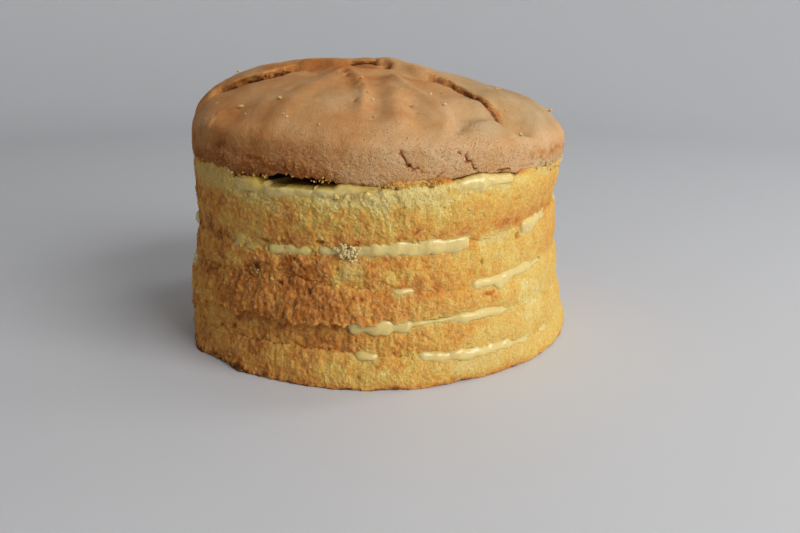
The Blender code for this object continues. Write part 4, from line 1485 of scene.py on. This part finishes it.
def crumb_places(random):
    """The place, radius and browning of each crumb."""
    crumbs = []
    for x, y, radius in TOP_CRUMBS:
        line, width, _ = fault_at(np.array([x]))
        behind = smooth(0.5 + (y - line) / width)
        height = crust_height(np.array([float(x)]), np.array([float(y)]), behind)[0] + 0.25 * radius
        own = random.uniform(0.0, 0.3)
        for _ in range(4):
            aside, along = random.normal(size=2) * 0.45 * radius
            size = radius * random.uniform(0.35, 0.75)
            crumbs.append((x + aside, y + along, height, size, own + random.uniform(-0.06, 0.06)))
    for middle, level, half_turn, half_height, count, radius, bake, lift in SIDE_CRUMBS:
        for _ in range(count):
            turn = middle + half_turn * random.normal() * 0.5
            height = level + half_height * random.normal() * 0.5
            out = side_radius(height, turn) + step_at(turn, height) - 0.1
            out += lift * random.uniform(0.3, 1.0)
            size = radius * random.uniform(0.4, 1.1)
            crumbs.append((*placed(out, turn, height), size, bake + random.uniform(-0.1, 0.16)))
    for turn in random.uniform(-180, 180, FOOT_CRUMBS):
        many = near(turn, -24, 44, 14)
        if random.random() > 0.22 + 0.78 * many:
            continue
        foot = crust_foot(np.array([turn]))[0]
        out = side_radius(foot, turn) - 0.5 - 0.6 * many + random.uniform(-0.7, 0.7)
        place = placed(out, turn, foot + random.uniform(-0.4, 0.9))
        size = random.uniform(0.12, 0.66) ** 1.3
        crumbs.append((*place, size, random.uniform(0.3, 0.75)))
    crumbs = np.array(crumbs)
    return crumbs[:, :3], crumbs[:, 3], crumbs[:, 4]


def loose_crumbs(surface):
    """All crumbs as one mesh of small rough lumps."""
    random = np.random.default_rng(7)
    places, radii, bakes = crumb_places(random)
    lump = bmesh.new()
    bmesh.ops.create_icosphere(lump, subdivisions=2, radius=1)
    shape = np.array([vertex.co for vertex in lump.verts])
    faces = np.array([[vertex.index for vertex in face.verts] for face in lump.faces])
    lump.free()
    count = len(places)
    squash = random.uniform(0.6, 1.2, (count, 1, 3))
    lumps = shape[None] * squash * radii[:, None, None]
    points = (lumps + places[:, None]).reshape(-1, 3)
    out = np.tile(shape, (count, 1))
    rough = 0.45 * noise(points, 0.9, 91) + 0.3 * noise(points, 0.45, 92)
    points = points + out * (rough * np.repeat(radii, len(shape)))[:, None]
    joined = (faces[None] + (np.arange(count) * len(shape))[:, None, None]).reshape(-1, 3)
    looks = {
        "bake": np.repeat(bakes, len(shape)) + 0.1 * noise(points, 0.8, 93),
        # Painted shade in the dips of each lump
        "hollow": np.clip(-rough * 1.5, 0, 0.6),
        "stain_and_painted_shade": np.zeros(len(points)),
    }
    make_solid("loose_crumbs", points, joined.tolist(), surface, looks)


class CAKE_OT_stage(bpy.types.Operator):
    """Makes the floor, the lights and the camera."""

    bl_idname = "cake.stage"
    bl_label = "Stage"

    def execute(self, context):
        stage = context.scene.cake_stage
        make_floor(context.scene.cake_colours)
        make_lights(stage)
        make_camera(stage)
        return {"FINISHED"}


def make_floor(colours):
    """A round floor that curves up into a wall all round."""
    reach, curve, wall, steps, count = 0.9, 0.5, 1.4, 12, 96
    profile = [(0.35, 0.0), (reach, 0.0)]
    for step in range(1, steps + 1):
        angle = math.pi / 2 * step / steps
        profile.append((reach + curve * math.sin(angle), curve * (1 - math.cos(angle))))
    profile.append((reach + curve, wall))
    turn = np.arange(count) * 360 / count
    rings = [placed(radius / MM, turn, np.full(count, height / MM)) for radius, height in profile]
    points = np.vstack([*rings, np.zeros(3)]) * MM
    middle = fan(len(points) - 1, np.arange(count), True)
    faces = ring_quads(len(rings), count).tolist() + middle.tolist()
    floor = add_mesh("studio_floor", points, faces, floor_surface(colours))


def add_light(name, power, size, place, aim):
    """A soft rectangular light that points from one place to another."""
    light = bpy.data.lights.new(name, "AREA")
    light.shape = "RECTANGLE"
    light.size, light.size_y = size
    light.energy = power
    light.color = (1.0, 0.985, 0.975)
    lamp = bpy.data.objects.new(name, light)
    lamp.location = place
    x, y, z = np.subtract(aim, place)
    lamp.rotation_euler = (math.atan2(math.hypot(x, y), -z), 0, math.atan2(-x, y))
    lamp.visible_camera = False
    bpy.context.scene.collection.objects.link(lamp)


def make_lights(stage):
    """A large soft light from the right and in front, one for the wall, and a weak light all round."""
    add_light("key", stage.key_power, (0.9, 0.8), (0.90, -0.76, 0.76), (0, 0, 0.06))
    add_light("wall", stage.wall_power, (1.4, 0.3), (1.1, 0.4, 1.6), (0.7, 1.5, 0.55))
    world = bpy.data.worlds.new("studio")
    world.use_nodes = True
    background = world.node_tree.nodes["Background"]
    background.inputs["Color"].default_value = (0.95, 0.89, 0.80, 1)
    background.inputs["Strength"].default_value = stage.ambient
    bpy.context.scene.world = world
    bpy.context.scene.view_settings.view_transform = "Standard"


def make_camera(stage):
    """A camera in front of the cake that looks a little down at it."""
    camera = bpy.data.cameras.new("camera")
    camera.lens = stage.lens
    camera.sensor_width = 36
    view = bpy.data.objects.new("camera", camera)
    view.location = AXIS * MM + (stage.camera_aside, -stage.camera_distance, stage.camera_height)
    view.rotation_euler = (math.pi / 2 - stage.camera_pitch, 0, 0)
    bpy.context.scene.collection.objects.link(view)
    bpy.context.scene.camera = view


class CAKE_PT_sidebar(bpy.types.Panel):
    """Lists the pieces of the cake and the sizes and colours that can be changed."""

    bl_idname = "CAKE_PT_sidebar"
    bl_label = "Layer Cake"
    bl_space_type = "VIEW_3D"
    bl_region_type = "UI"
    bl_category = "Cake"

    def draw(self, context):
        for operator in OPERATORS:
            self.layout.operator(operator.bl_idname)
        for group in (context.scene.cake_sizes, context.scene.cake_colours, context.scene.cake_stage):
            for name in group.__annotations__:
                self.layout.prop(group, name)


OPERATORS = (
    CAKE_OT_stage,
    CAKE_OT_sponge_layers,
    CAKE_OT_custard,
    CAKE_OT_domed_top,
    CAKE_OT_crumbs,
)
GROUPS = {"cake_sizes": CakeSizes, "cake_colours": CakeColours, "cake_stage": CakeStage}


def register():
    for made in (*GROUPS.values(), *OPERATORS, CAKE_PT_sidebar):
        bpy.utils.register_class(made)
    for name, group in GROUPS.items():
        setattr(bpy.types.Scene, name, bpy.props.PointerProperty(type=group))


def unregister():
    for name in GROUPS:
        delattr(bpy.types.Scene, name)
    for made in (CAKE_PT_sidebar, *OPERATORS[::-1], *list(GROUPS.values())[::-1]):
        bpy.utils.unregister_class(made)


def main():
    register()
    bpy.ops.cake.stage()
    bpy.ops.cake.sponge_layers()
    bpy.ops.cake.custard()
    bpy.ops.cake.domed_top()
    bpy.ops.cake.crumbs()
    bpy.context.view_layer.update()


if __name__ == "__main__":
    main()
